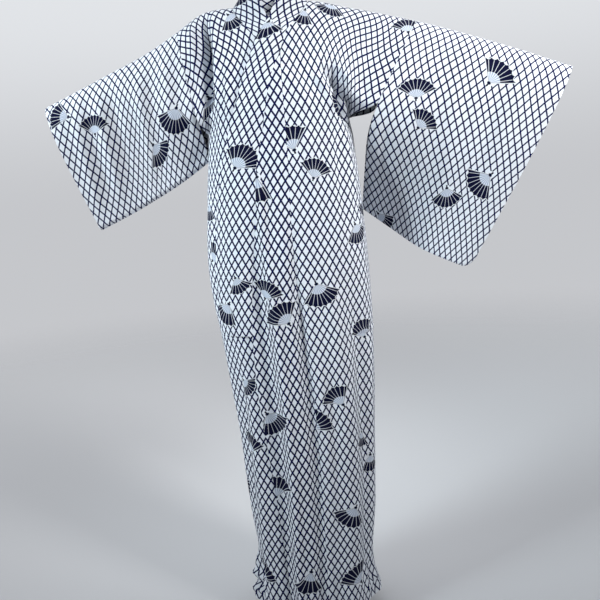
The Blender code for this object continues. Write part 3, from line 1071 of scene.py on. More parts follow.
    def rims(self, rows: int, columns: int) -> list[Array]:
        """Vertex numbers along each free edge, in the order that turns its faces outwards.

        Args:
            rows: Rows of the grid.
            columns: Columns of the grid.

        Returns:
            The numbers along each edge.
        """
        top, bottom = np.arange(columns), (rows - 1) * columns + np.arange(columns)
        if self.closed:
            return [np.append(top, top[0]), np.append(bottom, bottom[0])[::-1]]
        left, right = np.arange(rows) * columns, np.arange(rows) * columns + columns - 1
        return [np.concatenate([top, right[1:], bottom[:-1][::-1], left[:-1][::-1]])]


def fan_places(places: Array, fans: tuple[Fan, ...]) -> Array:
    """Places in the nearest fan's own measure, for each corner of each face.

    Args:
        places: Cloth coordinates, faces by corners by two.
        fans: The fans to choose from.

    Returns:
        For each corner, its place aside and along the fan in radii, and half the fan's opening in radians.
    """
    centre = places.mean(axis=1)
    rivets = np.array([(fan.across, fan.down) for fan in fans])
    turn = np.radians([fan.turn for fan in fans])
    radius = np.array([fan.radius for fan in fans])
    axis = np.stack([np.cos(turn), -np.sin(turn)], axis=1)
    heart = rivets + axis * radius[:, None] * FAN_HEART
    nearest = np.argmin(((centre[:, None] - heart[None]) ** 2).sum(axis=2), axis=1)
    off = (places - rivets[nearest][:, None]) / radius[nearest][:, None, None]
    way = axis[nearest][:, None]
    along = off[..., 0] * way[..., 0] + off[..., 1] * way[..., 1]
    aside = off[..., 0] * way[..., 1] - off[..., 1] * way[..., 0]
    half = np.radians([fan.half for fan in fans])[nearest]
    return np.stack([aside, along, np.broadcast_to(half[:, None], along.shape)], axis=-1)


def scattered_fans(seed: int, across: Pair, down: Pair) -> tuple[Fan, ...]:
    """Fans for cloth that is out of sight: one in each cell of a loose grid, turned at random.

    Args:
        seed: Seed of their places and shapes.
        across: Span across the cloth.
        down: Span down the cloth.

    Returns:
        The fans.
    """
    random = np.random.default_rng(seed)
    counts = [max(1, int(round((high - low) / size))) for (low, high), size in zip((across, down), FAN_CELL)]
    fans = []
    for i, j in np.ndindex(*counts):
        aside = i + random.uniform(*FAN_WANDERS)
        below = j + random.uniform(*FAN_WANDERS) + FAN_STAGGER * (i % 2)
        place = [
            low + cells * (high - low) / count
            for cells, (low, high), count in zip((aside, below), (across, down), counts)
        ]
        fans.append(Fan(*place, *(random.uniform(*span) for span in ((-180, 180), FAN_RADII, FAN_HALVES))))
    return tuple(fans)


def in_scene(name: str, data: bpy.types.ID) -> Object:
    """A new object of the scene, at the origin.

    Args:
        name: The object's name.
        data: Its mesh, light or camera.

    Returns:
        The object.
    """
    made = bpy.data.objects.new(name, data)
    bpy.context.scene.collection.objects.link(made)
    return made


def wire(made: Node, *fed: object, **settings: object) -> Node:
    """Set a node up.

    Args:
        made: The node.
        fed: Plain values or sockets for its first inputs, in order.
        settings: Its properties, in small letters, and other inputs by name, with _ for a space.

    Returns:
        The same node.
    """
    inputs = dict(enumerate(fed))
    for name, value in settings.items():
        if name.islower():
            setattr(made, name, value)
        else:
            inputs[name.replace("_", " ")] = value
    for key, value in inputs.items():
        if isinstance(value, Socket):
            made.id_data.links.new(value, made.inputs[key])
        else:
            made.inputs[key].default_value = value
    return made


def node(tree: bpy.types.NodeTree, kind: str, *fed: object, **settings: object) -> Node:
    """A new node of a tree, set up."""
    return wire(tree.nodes.new(kind), *fed, **settings)


def mix(factor: Socket, first: object, second: object) -> Socket:
    """A mix of two colours, each a socket or a plain colour.

    Args:
        factor: 0 for the first, 1 for the second.
        first: One colour.
        second: The other.

    Returns:
        The mixed colour.
    """
    made = node(factor.id_data, "ShaderNodeMix", data_type="RGBA", Factor=factor)
    for key, value in ((6, first), (7, second)):
        if isinstance(value, Socket):
            made.id_data.links.new(value, made.inputs[key])
        else:
            made.inputs[key].default_value = (*value, 1.0)
    return made.outputs[2]


def sockets(tree: bpy.types.NodeTree, way: str, kind: str, *names: str) -> None:
    """Give a group some named sockets of one kind."""
    for name in names:
        tree.interface.new_socket(name, in_out=way, socket_type="NodeSocket" + kind)


def new_material(name: str, **looks: object) -> tuple[bpy.types.Material, Node]:
    """A material and its shader, set up.

    Args:
        name: Its name.
        looks: The shader's inputs, as for a node.

    Returns:
        The material and its shader.
    """
    material = bpy.data.materials.new(name)
    material.use_nodes = True
    return material, wire(material.node_tree.nodes["Principled BSDF"], **looks)


def operator(operation: str) -> Callable[["Value", "Value | float"], "Value"]:
    """A method that puts a number through one math node with another number."""
    return lambda number, other: number.math(operation, other)


@dataclass(frozen=True)
class Value:
    """A number that changes over the cloth: a socket of the node tree that works it out."""

    socket: Socket

    def math(self, operation: str, *others: "Value | float") -> "Value":
        """This number through a math node with others."""
        fed = [value.socket if isinstance(value, Value) else value for value in (self, *others)]
        return Value(node(self.socket.id_data, "ShaderNodeMath", *fed, operation=operation).outputs[0])

    __add__, __sub__, __mul__, __truediv__ = map(operator, ("ADD", "SUBTRACT", "MULTIPLY", "DIVIDE"))

    def size(self) -> "Value":
        """The number without its sign."""
        return self.math("ABSOLUTE")

    def below(self, limit: "Value | float", soft: float) -> "Value":
        """1 where the number is below a limit, 0 above it, with a soft edge."""
        return (((self - limit) / -soft) + 0.5).math("MINIMUM", 1.0).math("MAXIMUM", 0.0)

    def to_whole(self) -> "Value":
        """Distance to the nearest whole number."""
        return self.math("PINGPONG", 0.5)

    def flipped(self) -> "Value":
        """One minus the number."""
        return (self * -1.0) + 1.0

    def either(self, other: "Value") -> "Value":
        """The larger of two masks."""
        return self.math("MAXIMUM", other)


def far_from_middle(one: Value, two: Value) -> Value:
    """Length of the long side over two short ones."""
    return ((one * one) + (two * two)).math("SQRT")


class PrintGroup:
    """The shader group that draws the diamond net and the fans from cloth and fan coordinates.

    The net's sizes are in metres. A fan's are in its radii, and its pleats in radians. SOFT, or a size whose
    name ends in it, is the width of an edge that fades.
    """

    NAME = "net_and_fans"
    SIZES = ("Across", "Down", "Line", "Knot", "Wanders")
    DRIFT_SCALE = 22.0
    MOTTLE_SCALE = 9.0
    LINE_SOFT = 0.0005
    KNOT_SOFT = 0.0006
    SOFT = 0.02
    SOFTER = 0.03
    PLEAT = 0.25
    LEAF_FROM = 0.43
    RIM_DIPS = 0.075
    TIP_RISES = 0.07
    RIB_HALF = 0.0090
    RIB_SOFT = 0.012
    RIB_END = 0.90
    RIB_WHITE = 0.9
    STICK_HALF = 0.45
    STICK_SOFT = 0.30
    STICK_PALE = 0.85
    GUARD_HALF = 0.012
    GUARD_END = 0.95
    GUARD_DARK = 0.6
    RIVET = 0.060
    FOOT_HALF = 0.038
    FOOT_AT = 0.10
    FOOT_LENGTH = 0.055
    CLEAR = 0.030
    CLEAR_RIVET = 0.16

    def build(self) -> bpy.types.NodeTree:
        """The group, built once: masks of the net, the leaves, the pale sticks and the ground's mottle.

        Returns:
            The group.
        """
        if self.NAME in bpy.data.node_groups:
            return bpy.data.node_groups[self.NAME]
        tree = bpy.data.node_groups.new(self.NAME, "ShaderNodeTree")
        sockets(tree, "INPUT", "Vector", "Cloth", "Worn", "Fan", "Shift", "Turn")
        sockets(tree, "INPUT", "Float", *self.SIZES)
        sockets(tree, "OUTPUT", "Float", "Net", "Leaf", "Sector", "Mottle")
        given = {socket.name: Value(socket) for socket in node(tree, "NodeGroupInput").outputs if socket.name}
        clear, leaf, sector = self.fan(*self.parts(given["Fan"]))
        net = self.net(self.placed(given), given) * clear.flipped()
        mottle = self.noise(given, self.MOTTLE_SCALE, 3.0).outputs["Fac"]
        node(tree, "NodeGroupOutput", Net=net.socket, Leaf=leaf.socket, Sector=sector.socket, Mottle=mottle)
        return tree

    def noise(self, given: dict[str, Value], scale: float, detail: float) -> Node:
        """A noise that lies in the cloth."""
        place = given["Cloth"].socket
        return node(place.id_data, "ShaderNodeTexNoise", Vector=place, Scale=scale, Detail=detail)

    def placed(self, given: dict[str, Value]) -> Value:
        """Coordinates of the net, which wander a little, and are shifted and turned as on this piece.

        Args:
            given: The group's inputs by name.

        Returns:
            The coordinates.
        """
        tree = given["Cloth"].socket.id_data

        def vector(operation: str, *fed: object, **settings: object) -> Socket:
            """The output of a new vector math node."""
            return node(tree, "ShaderNodeVectorMath", *fed, operation=operation, **settings).outputs[0]

        drift = self.noise(given, self.DRIFT_SCALE, 2.0).outputs["Color"]
        off = vector("SCALE", vector("SUBTRACT", drift, (0.5, 0.5, 0.5)), Scale=given["Wanders"].socket)
        moved = vector("ADD", given["Worn"].socket, off)
        turned = {"Location": given["Shift"].socket, "Rotation": given["Turn"].socket}
        return Value(node(tree, "ShaderNodeMapping", Vector=moved, **turned).outputs[0])

    def parts(self, vector: Value) -> list[Value]:
        """The three numbers of a vector."""
        split = node(vector.socket.id_data, "ShaderNodeSeparateXYZ", vector.socket)
        return [Value(socket) for socket in split.outputs]

    def net(self, placed: Value, given: dict[str, Value]) -> Value:
        """Lines along both slants of the net, and a knot where they cross.

        Args:
            placed: Coordinates of the net.
            given: The group's inputs by name.

        Returns:
            The mask of the net.
        """
        across, down, _ = self.parts(placed)
        p, q = across / given["Across"], down / given["Down"]
        square = (given["Across"].math("POWER", -2.0) + given["Down"].math("POWER", -2.0)).math("SQRT")
        one, two = ((p + q).to_whole() / square, (p - q).to_whole() / square)
        lines = one.math("MINIMUM", two).below(given["Line"], self.LINE_SOFT)
        return lines.either(far_from_middle(one, two).below(given["Knot"], self.KNOT_SOFT))

    def fan(self, aside: Value, along: Value, half: Value) -> tuple[Value, Value, Value]:
        """An open fan: the bare cloth round it, its dark pleated leaf and its pale sticks.

        The leaf's pleats end in points, the outer two the longest, and a thin white rib runs up each pleat.

        Args:
            aside: Place aside of the fan's axis.
            along: Place along it.
            half: Half its opening.

        Returns:
            The three masks.
        """
        radius = far_from_middle(aside, along)
        angle = aside.math("ARCTAN2", along)
        pleats = (half / (self.PLEAT / 2)).math("ROUND")
        to_point = (((angle / half) + 1.0) * pleats * 0.5).to_whole() * 2.0
        to_middle = to_point.flipped()
        turned = (angle.size() - half) * radius
        inside = turned.below(0.0, self.SOFT)
        ends = ((half - angle.size()) / self.PLEAT).below(0.0, 1.0)
        rim = (to_middle * to_middle * self.RIM_DIPS) + (1.0 - self.RIM_DIPS) + (ends * self.TIP_RISES)
        sticks = radius.below(self.LEAF_FROM, self.SOFT)
        leaf = sticks.flipped() * radius.below(rim, self.SOFTER) * inside
        rib = (to_middle * radius * (self.PLEAT / 2)).below(self.RIB_HALF, self.RIB_SOFT)
        leaf = leaf * (rib * radius.below(self.RIB_END, self.SOFTER) * self.RIB_WHITE).flipped()
        stick = to_middle.below(self.STICK_HALF, self.STICK_SOFT) * self.STICK_PALE
        pale = sticks * inside * stick.flipped()
        guards = turned.size().below(self.GUARD_HALF, self.GUARD_HALF)
        guards = guards * radius.below(self.GUARD_END, self.SOFTER)
        rivet = ((aside * aside * 0.5) + (along * along)).math("SQRT").below(self.RIVET, self.SOFT)
        foot = (along + self.FOOT_AT).size().below(self.FOOT_LENGTH, self.SOFT)
        foot = aside.size().below(self.FOOT_HALF, self.SOFT) * foot
        ink = leaf.either(rivet).either(foot).either(guards * self.GUARD_DARK)
        clear = radius.below(rim + self.CLEAR, self.SOFT) * turned.below(self.CLEAR, self.SOFT)
        return clear.either(radius.below(self.CLEAR_RIVET, self.SOFT)), ink, pale * ink.flipped()


class WeaveGroup:
    """The shader group that gives cotton its relief: puckers under uneven warp and weft threads."""

    NAME = "cotton_weave"
    LAYERS = {
        "Pucker": Relief(30.0, 3.0, 1.0, 0.55),
        "Warp": Relief(1.0, 1.0, 1700.0, 90.0),
        "Weft": Relief(1.0, 1.0, 90.0, 1700.0),
    }

    def build(self) -> bpy.types.NodeTree:
        """The group, built once: normals from cloth coordinates and the height of each layer.

        Returns:
            The group.
        """
        if self.NAME in bpy.data.node_groups:
            return bpy.data.node_groups[self.NAME]
        tree = bpy.data.node_groups.new(self.NAME, "ShaderNodeTree")
        sockets(tree, "INPUT", "Vector", "Cloth")
        sockets(tree, "INPUT", "Float", *self.LAYERS)
        sockets(tree, "OUTPUT", "Vector", "Normal")
        given, below = node(tree, "NodeGroupInput").outputs, {}
        for name, relief in self.LAYERS.items():
            stretch = (relief.across, relief.down, 1.0)
            place = node(tree, "ShaderNodeMapping", Vector=given["Cloth"], Scale=stretch).outputs[0]
            noise = node(tree, "ShaderNodeTexNoise", Vector=place, Scale=relief.scale, Detail=relief.detail)
            height = noise.outputs["Fac"]
            bump = node(tree, "ShaderNodeBump", Height=height, Distance=given[name], **below)
            below = {"Normal": bump.outputs["Normal"]}
        node(tree, "NodeGroupOutput", **below)
        return tree


@dataclass(frozen=True)
class PrintedCotton:
    """Matt white cotton with the navy net and fans.

    Attributes:
        shift: Where the net starts on this piece.
        turn: How far the net is turned on it, in degrees.
        ground: The cloth's colour.
        navy: The net's colour.
        dark: The fans' colour.
        pale: The colour between a fan's sticks.
        shaded: Share of the ground's colour where it's darkest.
        across, down: The net's repeat.
        line, knot: Half widths of its lines and knots.
        wanders: How far its lines wander.
        pucker, warp, weft: Heights of the weave's layers.
    """

    shift: Pair = (0.0, 0.0)
    turn: float = 0.0
    ground: Triple = (0.72, 0.76, 0.82)
    navy: Triple = (0.0030, 0.0050, 0.050)
    dark: Triple = (0.0020, 0.0030, 0.022)
    pale: Triple = (0.30, 0.36, 0.48)
    shaded: float = 0.93
    across: float = 0.0170
    down: float = 0.0278
    line: float = 0.00170
    knot: float = 0.00250
    wanders: float = 0.0022
    pucker: float = 0.0016
    warp: float = 0.00004
    weft: float = 0.00004

    def build(self, name: str) -> bpy.types.Material:
        """The material of one piece.

        Args:
            name: The material's name.

        Returns:
            The material.
        """
        material, shader = new_material(
            name, Roughness=0.86, Specular_IOR_Level=0.06, Sheen_Weight=0.02, Sheen_Roughness=0.6
        )
        tree = material.node_tree
        cloth, worn = (node(tree, "ShaderNodeUVMap", uv_map=layer).outputs[0] for layer in ("Cloth", "Net"))
        drawn = node(
            tree,
            "ShaderNodeGroup",
            node_tree=PrintGroup().build(),
            Cloth=cloth,
            Worn=worn,
            Fan=node(tree, "ShaderNodeAttribute", attribute_name="fan").outputs["Vector"],
            Shift=(*self.shift, 0.0),
            Turn=(0.0, 0.0, math.radians(self.turn)),
            **self.sizes(PrintGroup.SIZES),
        )
        colour = mix(drawn.outputs["Mottle"], self.ground, tuple(part * self.shaded for part in self.ground))
        for mask, ink in (("Sector", self.pale), ("Leaf", self.dark), ("Net", self.navy)):
            colour = mix(drawn.outputs[mask], colour, ink)
        heights = self.sizes(WeaveGroup.LAYERS)
        woven = node(tree, "ShaderNodeGroup", node_tree=WeaveGroup().build(), Cloth=cloth, **heights)
        wire(shader, Base_Color=colour, Normal=woven.outputs["Normal"])
        return material

    def sizes(self, names: Iterable[str]) -> dict[str, float]:
        """Values for a group's inputs of these names."""
        return {name: getattr(self, name.lower()) for name in names}


PRINTS = {
    "front_left": PrintedCotton(line=0.00178),
    "front_right": PrintedCotton(shift=(0.004, 0.011), line=0.00195),
    "okumi_left": PrintedCotton(shift=(0.006, 0.017), line=0.00200),
    "okumi_right": PrintedCotton(shift=(0.009, 0.004)),
    "back_left": PrintedCotton(shift=(0.002, 0.020)),
    "back_right": PrintedCotton(shift=(0.011, 0.008)),
    "collar": PrintedCotton(shift=(0.003, 0.013), line=0.00185),
    "sleeve_left": PrintedCotton(shift=(0.0, 0.006), turn=3.0, line=0.00155),
    "sleeve_right": PrintedCotton(shift=(0.005, 0.0), turn=8.0, line=0.00160),
}


@dataclass(frozen=True)
class Thread:
    """White cotton sewing thread: two plies, with a slight change of tone along the seams.

    Attributes:
        colour: Its mean colour.
        tone: Share by which the tone changes.
        ply: Length of one twist of the plies.
        bump: Height of the plies.
    """

    colour: Triple = (0.66, 0.68, 0.70)
    tone: float = 0.10
    ply: float = 0.0008
    bump: float = 0.0001

    def build(self) -> bpy.types.Material:
        """The material of the stitches.

        Returns:
            The material.
        """
        material, shader = new_material("thread", Roughness=0.75, Specular_IOR_Level=0.15)
        tree = material.node_tree
        place = node(tree, "ShaderNodeTexCoord").outputs["Object"]
        noise = node(tree, "ShaderNodeTexNoise", Vector=place, Scale=60.0).outputs["Fac"]
        dark, pale = (tuple(part * (1.0 + tone) for part in self.colour) for tone in (-self.tone, self.tone))
        twists = 1.0 / self.ply
        plies = node(tree, "ShaderNodeTexWave", bands_direction="DIAGONAL", Vector=place, Scale=twists)
        bump = node(tree, "ShaderNodeBump", Height=plies.outputs["Fac"], Distance=self.bump)
        wire(shader, Base_Color=mix(noise, dark, pale), Normal=bump.outputs["Normal"])
        return material


@dataclass
class Stitching:
    """Running stitches through the cloth, a few millimetres in from its open edges.

    Attributes:
        thread: Their material.
        spacing: From one stitch to the next.
        length: Length of a stitch.
        width: Width of the thread.
        proud: How far a stitch stands out of the cloth on each side.
        shortest, longest: Shares of a stitch's length and width between which it's uneven.
        seed: Seed of their unevenness.
    """

    thread: bpy.types.Material
    spacing: float = 0.0080
    length: float = 0.0034
    width: float = 0.0009
    proud: float = 0.0004
    shortest: Triple = (0.75, 0.9, 1.0)
    longest: Triple = (1.25, 1.1, 1.0)
    seed: int = SEED

    def tree(self) -> bpy.types.NodeTree:
        """Geometry nodes, built once, that set a stitch on each of the places along the lines.

        Returns:
            The group.
        """
        if "stitching" in bpy.data.node_groups:
            return bpy.data.node_groups["stitching"]
        tree = bpy.data.node_groups.new("stitching", "GeometryNodeTree")
        sockets(tree, "INPUT", "Geometry", "Lines")
        sockets(tree, "INPUT", "Float", "Spacing", "Length", "Width", "Thickness")
        sockets(tree, "INPUT", "Int", "Seed")
        sockets(tree, "INPUT", "Material", "Thread")
        sockets(tree, "OUTPUT", "Geometry", "Stitches")

        def made(kind: str, output: str, **settings: object) -> Socket:
            """One output of a new geometry or function node."""
            return node(tree, kind, **settings).outputs[output]

        given = node(tree, "NodeGroupInput").outputs
        curves = made("GeometryNodeMeshToCurve", "Curve", Mesh=given["Lines"])
        spacing = given["Spacing"]
        places = made("GeometryNodeResampleCurve", "Curve", mode="LENGTH", Curve=curves, Length=spacing)
        grain = made("GeometryNodeMeshUVSphere", "Mesh", Segments=6, Rings=4, Radius=0.5)
        sides = {axis: given[name] for axis, name in zip("XYZ", ("Length", "Width", "Thickness"))}
        size = made("ShaderNodeCombineXYZ", "Vector", **sides)
        stitch = made("GeometryNodeTransform", "Geometry", Geometry=grain, Scale=size)
        way = made("GeometryNodeInputNamedAttribute", "Attribute", data_type="FLOAT_VECTOR", Name="way")
        turned = made(
            "FunctionNodeAxesToRotation",
            "Rotation",
            primary_axis="Z",
            secondary_axis="X",
            Primary_Axis=way,
            Secondary_Axis=made("GeometryNodeInputTangent", "Tangent"),
        )
        uneven = made(
            "FunctionNodeRandomValue",
            "Value",
            data_type="FLOAT_VECTOR",
            Min=self.shortest,
            Max=self.longest,
            Seed=given["Seed"],
        )
        laid = {"Points": places, "Instance": stitch, "Rotation": turned, "Scale": uneven}
        sewn = made("GeometryNodeInstanceOnPoints", "Instances", **laid)
        real = made("GeometryNodeRealizeInstances", "Geometry", Geometry=sewn)
        finished = made("GeometryNodeSetMaterial", "Geometry", Geometry=real, Material=given["Thread"])
        node(tree, "NodeGroupOutput", Stitches=finished)
        return tree

    def sew(self, sheet: Sheet, lines: list[Line]) -> Object:
        """Stitches along lines of one sheet, as a plain mesh.

        Args:
            sheet: The sheet they hold.
            lines: Where they run.

        Returns:
            The new object, at the origin.
        """
        mesh = bpy.data.meshes.new(sheet.name + "_lines")
        starts = np.cumsum([0, *(len(line.points) for line in lines)])
        edges = [(n, n + 1) for first, last in zip(starts, starts[1:]) for n in range(first, last - 1)]
        mesh.from_pydata(np.concatenate([line.points for line in lines]).tolist(), edges, [])
        way = mesh.attributes.new("way", "FLOAT_VECTOR", "POINT")
        way.data.foreach_set("vector", np.concatenate([line.normals for line in lines]).ravel())
        guide = in_scene(mesh.name, mesh)
        modifier = guide.modifiers.new("stitching", "NODES")
        modifier.node_group = self.tree()
        names = ("Spacing", "Length", "Width", "Seed", "Thread")
        wanted = {name: getattr(self, name.lower()) for name in names}
        wanted["Thickness"] = sheet.wall + 2 * self.proud
        for item in modifier.node_group.interface.items_tree:
            if item.in_out == "INPUT" and item.name in wanted:
                modifier[item.identifier] = wanted[item.name]
        sewn = bpy.data.meshes.new_from_object(guide.evaluated_get(bpy.context.evaluated_depsgraph_get()))
        guide.modifiers.remove(modifier)
        bpy.data.objects.remove(guide)
        sewn.name = sheet.name + "_stitches"
        sewn.shade_smooth()
        piece = in_scene(sheet.name + "_stitches", sewn)
        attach(piece, "root")
        return piece


def on_root(piece: Object, sheet: Sheet) -> None:
    """Make a cloth piece stand for its solid, ride on the robe and state its cut.

    Args:
        piece: The cloth.
        sheet: The sheet it was made from.
    """
    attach(piece, "root")
    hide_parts(sheet.name)
    width, length = sheet.flat_size()
    log.info("%s: cut %.3f by %.3f m, %.3f square metres", piece.name, width, length, sheet.flat_area())


@dataclass
class BodyPanels:
    """Fronts, overlaps and backs: the straight lengths over the shoulders and the strips on their edges.

    Attributes:
        form: The surface they lie on.
        waves: Small waves of their cloth.
        seam_dip: How far the cloth sinks into a seam.
        seam_width: How far from a seam it rises again.
        seam_columns: Places of the extra columns at a seam, in columns.
    """

    form: BodyForm
    waves: Waves = Waves()
    seam_dip: float = 0.0007
    seam_width: float = 0.0022
    seam_columns: Pair = (0.2, 0.5)

    def rows(self, start: float = 0.0, end: float = BODY_LENGTH) -> Array:
        """Distances down the cloth of the grid's rows."""
        return steps(max(start, SEAM_GAP / 2), end)

    def columns(self, width: float) -> Array:
        """Shares of a panel's width, closer along its seams.

        Args:
            width: The panel's width.

        Returns:
            The shares.
        """
        even = np.linspace(0.0, 1.0, int(round(width / CLOTH_STEP)) + 1)
        near = np.array(self.seam_columns) / (len(even) - 1)
        return np.sort(np.concatenate([even, near, 1.0 - near]))

    def dips(self, share: Array, width: Array) -> Array:
        """How far the cloth sinks into the seams on both sides of a panel."""
        to_edge = np.minimum(share, 1.0 - share)[None, :] * np.abs(width)[:, None]
        return -self.seam_dip * np.exp(-to_edge / self.seam_width)

    def strip(
        self, name: str, side: Side, rows: Array, inner: Array, outer: Array, share: Array | None = None
    ) -> Sheet:
        """A strip laid on one front, between an inner and an outer line.

        Args:
            name: The piece.
            side: The front it lies on.
            rows: Distances down the cloth.
            inner, outer: Distances across to the two lines, one for each row.
            share: Shares of the way from line to line for its columns, or those of a panel.

        Returns:
            The new sheet.
        """
        if share is None:
            share = self.columns(float(np.abs(outer - inner).max()))
        across = inner[:, None] + (outer - inner)[:, None] * share[None, :]
        down = np.broadcast_to(rows[:, None], across.shape)
        lift = self.form.front_lift(side, across, down) + self.dips(share, outer - inner)
        lift = lift + self.small_lift(side, across, down, Facing.FRONT)
        points = self.lifted(across, rows[:, None], Facing.FRONT, lift)
        return Sheet(name, points, np.stack([across, down], axis=-1))

    def lifted(self, across: Array, down: Array, facing: Facing, lift: Array) -> Array:
        """Places of the body's surface, moved outwards."""
        way = self.form.outward(across, down, facing)
        return self.form.surface(across, down, facing) + way * lift[..., None]

    def small_lift(self, side: Side, across: Array, down: Array, facing: Facing) -> Array:
        """Waves and creases, fading out at the shoulder line, the armhole and the side seam.

        Args:
            side: The wearer's left or right.
            across: Distances across the cloth.
            down: Distances down the cloth.
            facing: Over the front or the back of the body.

        Returns:
            Heights there.
        """
        edge = np.array([self.form.outer_edge(side, row, facing) for row in down[:, 0]])[:, None]
        fade = smooth(0.0, SHOULDER_FADES, down) * smooth(0.0, SIDE_FADES, edge - side.value * across)
        lift = self.waves.lift(across, down)
        if facing is Facing.FRONT:
            lift = lift + crease_lift(FRONT_CREASES, across, down)
        return lift * fade

    def front(self, side: Side) -> Sheet:
        """The front half of a body length, from the overlap's seam to the armhole and side seam.

        Args:
            side: The wearer's left or right.

        Returns:
            The sheet.
        """
        rows = self.rows()
        inner = side.value * (self.form.overlap_seam(rows) + SEAM_GAP / 2)
        outer = np.array([self.form.outer_edge(side, down, Facing.FRONT) for down in rows])
        return self.strip(side.named("front"), side, rows, inner, side.value * (outer - SEAM_GAP / 2))

    def overlap(self, side: Side) -> Sheet:
        """The overlap: a point at the collar's seam, widening to its full width at the collar's end.

        Args:
            side: The wearer's left or right.

        Returns:
            The sheet.
        """
        rows = self.rows(start=self.form.down_to(OVERLAP_TIP))
        seam = self.form.overlap_seam(rows) - SEAM_GAP / 2
        edge = np.minimum(self.form.collar_seam(rows) + SEAM_GAP / 2, seam - OVERLAP_TIP_WIDTH)
        return self.strip(side.named("okumi"), side, rows, side.value * edge, side.value * seam)

    def back(self, side: Side) -> Sheet:
        """The back half of a body length, from the centre seam and neck to the armhole and side seam.

        Args:
            side: The wearer's left or right.

        Returns:
            The sheet.
        """
        rows = self.rows()[:, None]
        edge = np.array([self.form.outer_edge(side, down, Facing.BACK) for down in rows[:, 0]])[:, None]
        share = self.columns(float(edge.max()))
        across = side.value * (SEAM_GAP / 2 + (edge - SEAM_GAP) * share[None, :])
        down = rows + neckline(across) * np.clip(1.0 - rows / NECK_FADES, 0.0, 1.0)
        lift = self.form.fold_lift(BACK_FOLDS, across, np.broadcast_to(rows, across.shape))
        lift = lift + self.dips(share, edge[:, 0]) + self.small_lift(side, across, down, Facing.BACK)
        points = self.lifted(across, down, Facing.BACK, lift)
        return Sheet(side.named("back"), points, np.stack([across, down], axis=-1))


def neckline(across: Array) -> Array:
    """How far down the back the neck is cut."""
    return NECK_BACK_DROP * np.sqrt(np.clip(1.0 - (across / NECK_WIDTH) ** 2, 0.0, 1.0))


@dataclass
class Collar:
    """One folded strip down both front edges and round the neck.

    Attributes:
        panels: The panels it is sewn to.
        columns: Columns of its grid.
        neck_rows: Rows of it on each side of the neck.
    """

    panels: BodyPanels
    columns: int = 15
    neck_rows: int = 24

    def run(self, side: Side) -> Array:
        """Rows on one front, from its end up to the throat, across from seam to free edge.

        Args:
            side: The wearer's left or right.

        Returns:
            Places of the rows.
        """
        form = self.panels.form
        rows = steps(form.down_to(THROAT), form.down_to(COLLAR_TIP))[::-1]
        seam = side.value * (form.collar_seam(rows) - SEAM_GAP / 2)
        edge = side.value * column(FRONT_LINES, "edge", form.height(rows))
        return self.panels.strip("collar", side, rows, seam, edge, np.linspace(0.0, 1.0, self.columns)).points

    def neck(self, side: Side, last: Array) -> Array:
        """Rows of the standing collar on one side, from the throat to the nape.

        Args:
            side: The wearer's left or right.
            last: The last row below it.

        Returns:
            Places of the rows.
        """
        form = self.panels.form
        seam = []
        for down in NECK_SEAM_DOWN:
            across = side.value * (float(form.collar_seam(np.array(down))) - COLLAR_STANDS_OFF)
            seam.append(form.surface(np.array(across), np.array(down), Facing.FRONT)[0, 0])
        for share in NECK_SEAM_BEHIND:
            across = np.array(side.value * (NECK_WIDTH - COLLAR_STANDS_OFF) * share)
            seam.append(form.surface(across, neckline(across) - COLLAR_STANDS_OFF, Facing.BACK)[0, 0])
        free = [(side.value * x, y, z) for x, y, z in NECK_EDGE]
        seam, free = np.array([last[0], *seam]), np.array([last[-1], *free])
        at = np.linspace(0.0, 1.0, self.neck_rows + 1)[1:]
        seam, free = through(seam, at), through(free, at)
        share = np.linspace(0.0, 1.0, self.columns)[None, :, None]
        return seam[:, None] * (1.0 - share) + free[:, None] * share

    def sheet(self) -> Sheet:
        """The left run, the stretch round the neck and the right run.

        Returns:
            The sheet.
        """
        left, right = self.run(Side.LEFT), self.run(Side.RIGHT)
        left_neck, right_neck = self.neck(Side.LEFT, left[-1]), self.neck(Side.RIGHT, right[-1])
        points = np.concatenate([left, left_neck, right_neck[:-1][::-1], right[::-1]])
        length = lengths(points[:, self.columns // 2])
        width = np.linalg.norm(points[:, -1] - points[:, 0], axis=1)
        across = (np.linspace(0.0, 1.0, self.columns)[None, :] - 0.5) * width[:, None]
        down = np.broadcast_to((length[len(left)] - length)[:, None], across.shape)
        return Sheet("collar", points, np.stack([-across, down], axis=-1), wall=COLLAR_WALL)


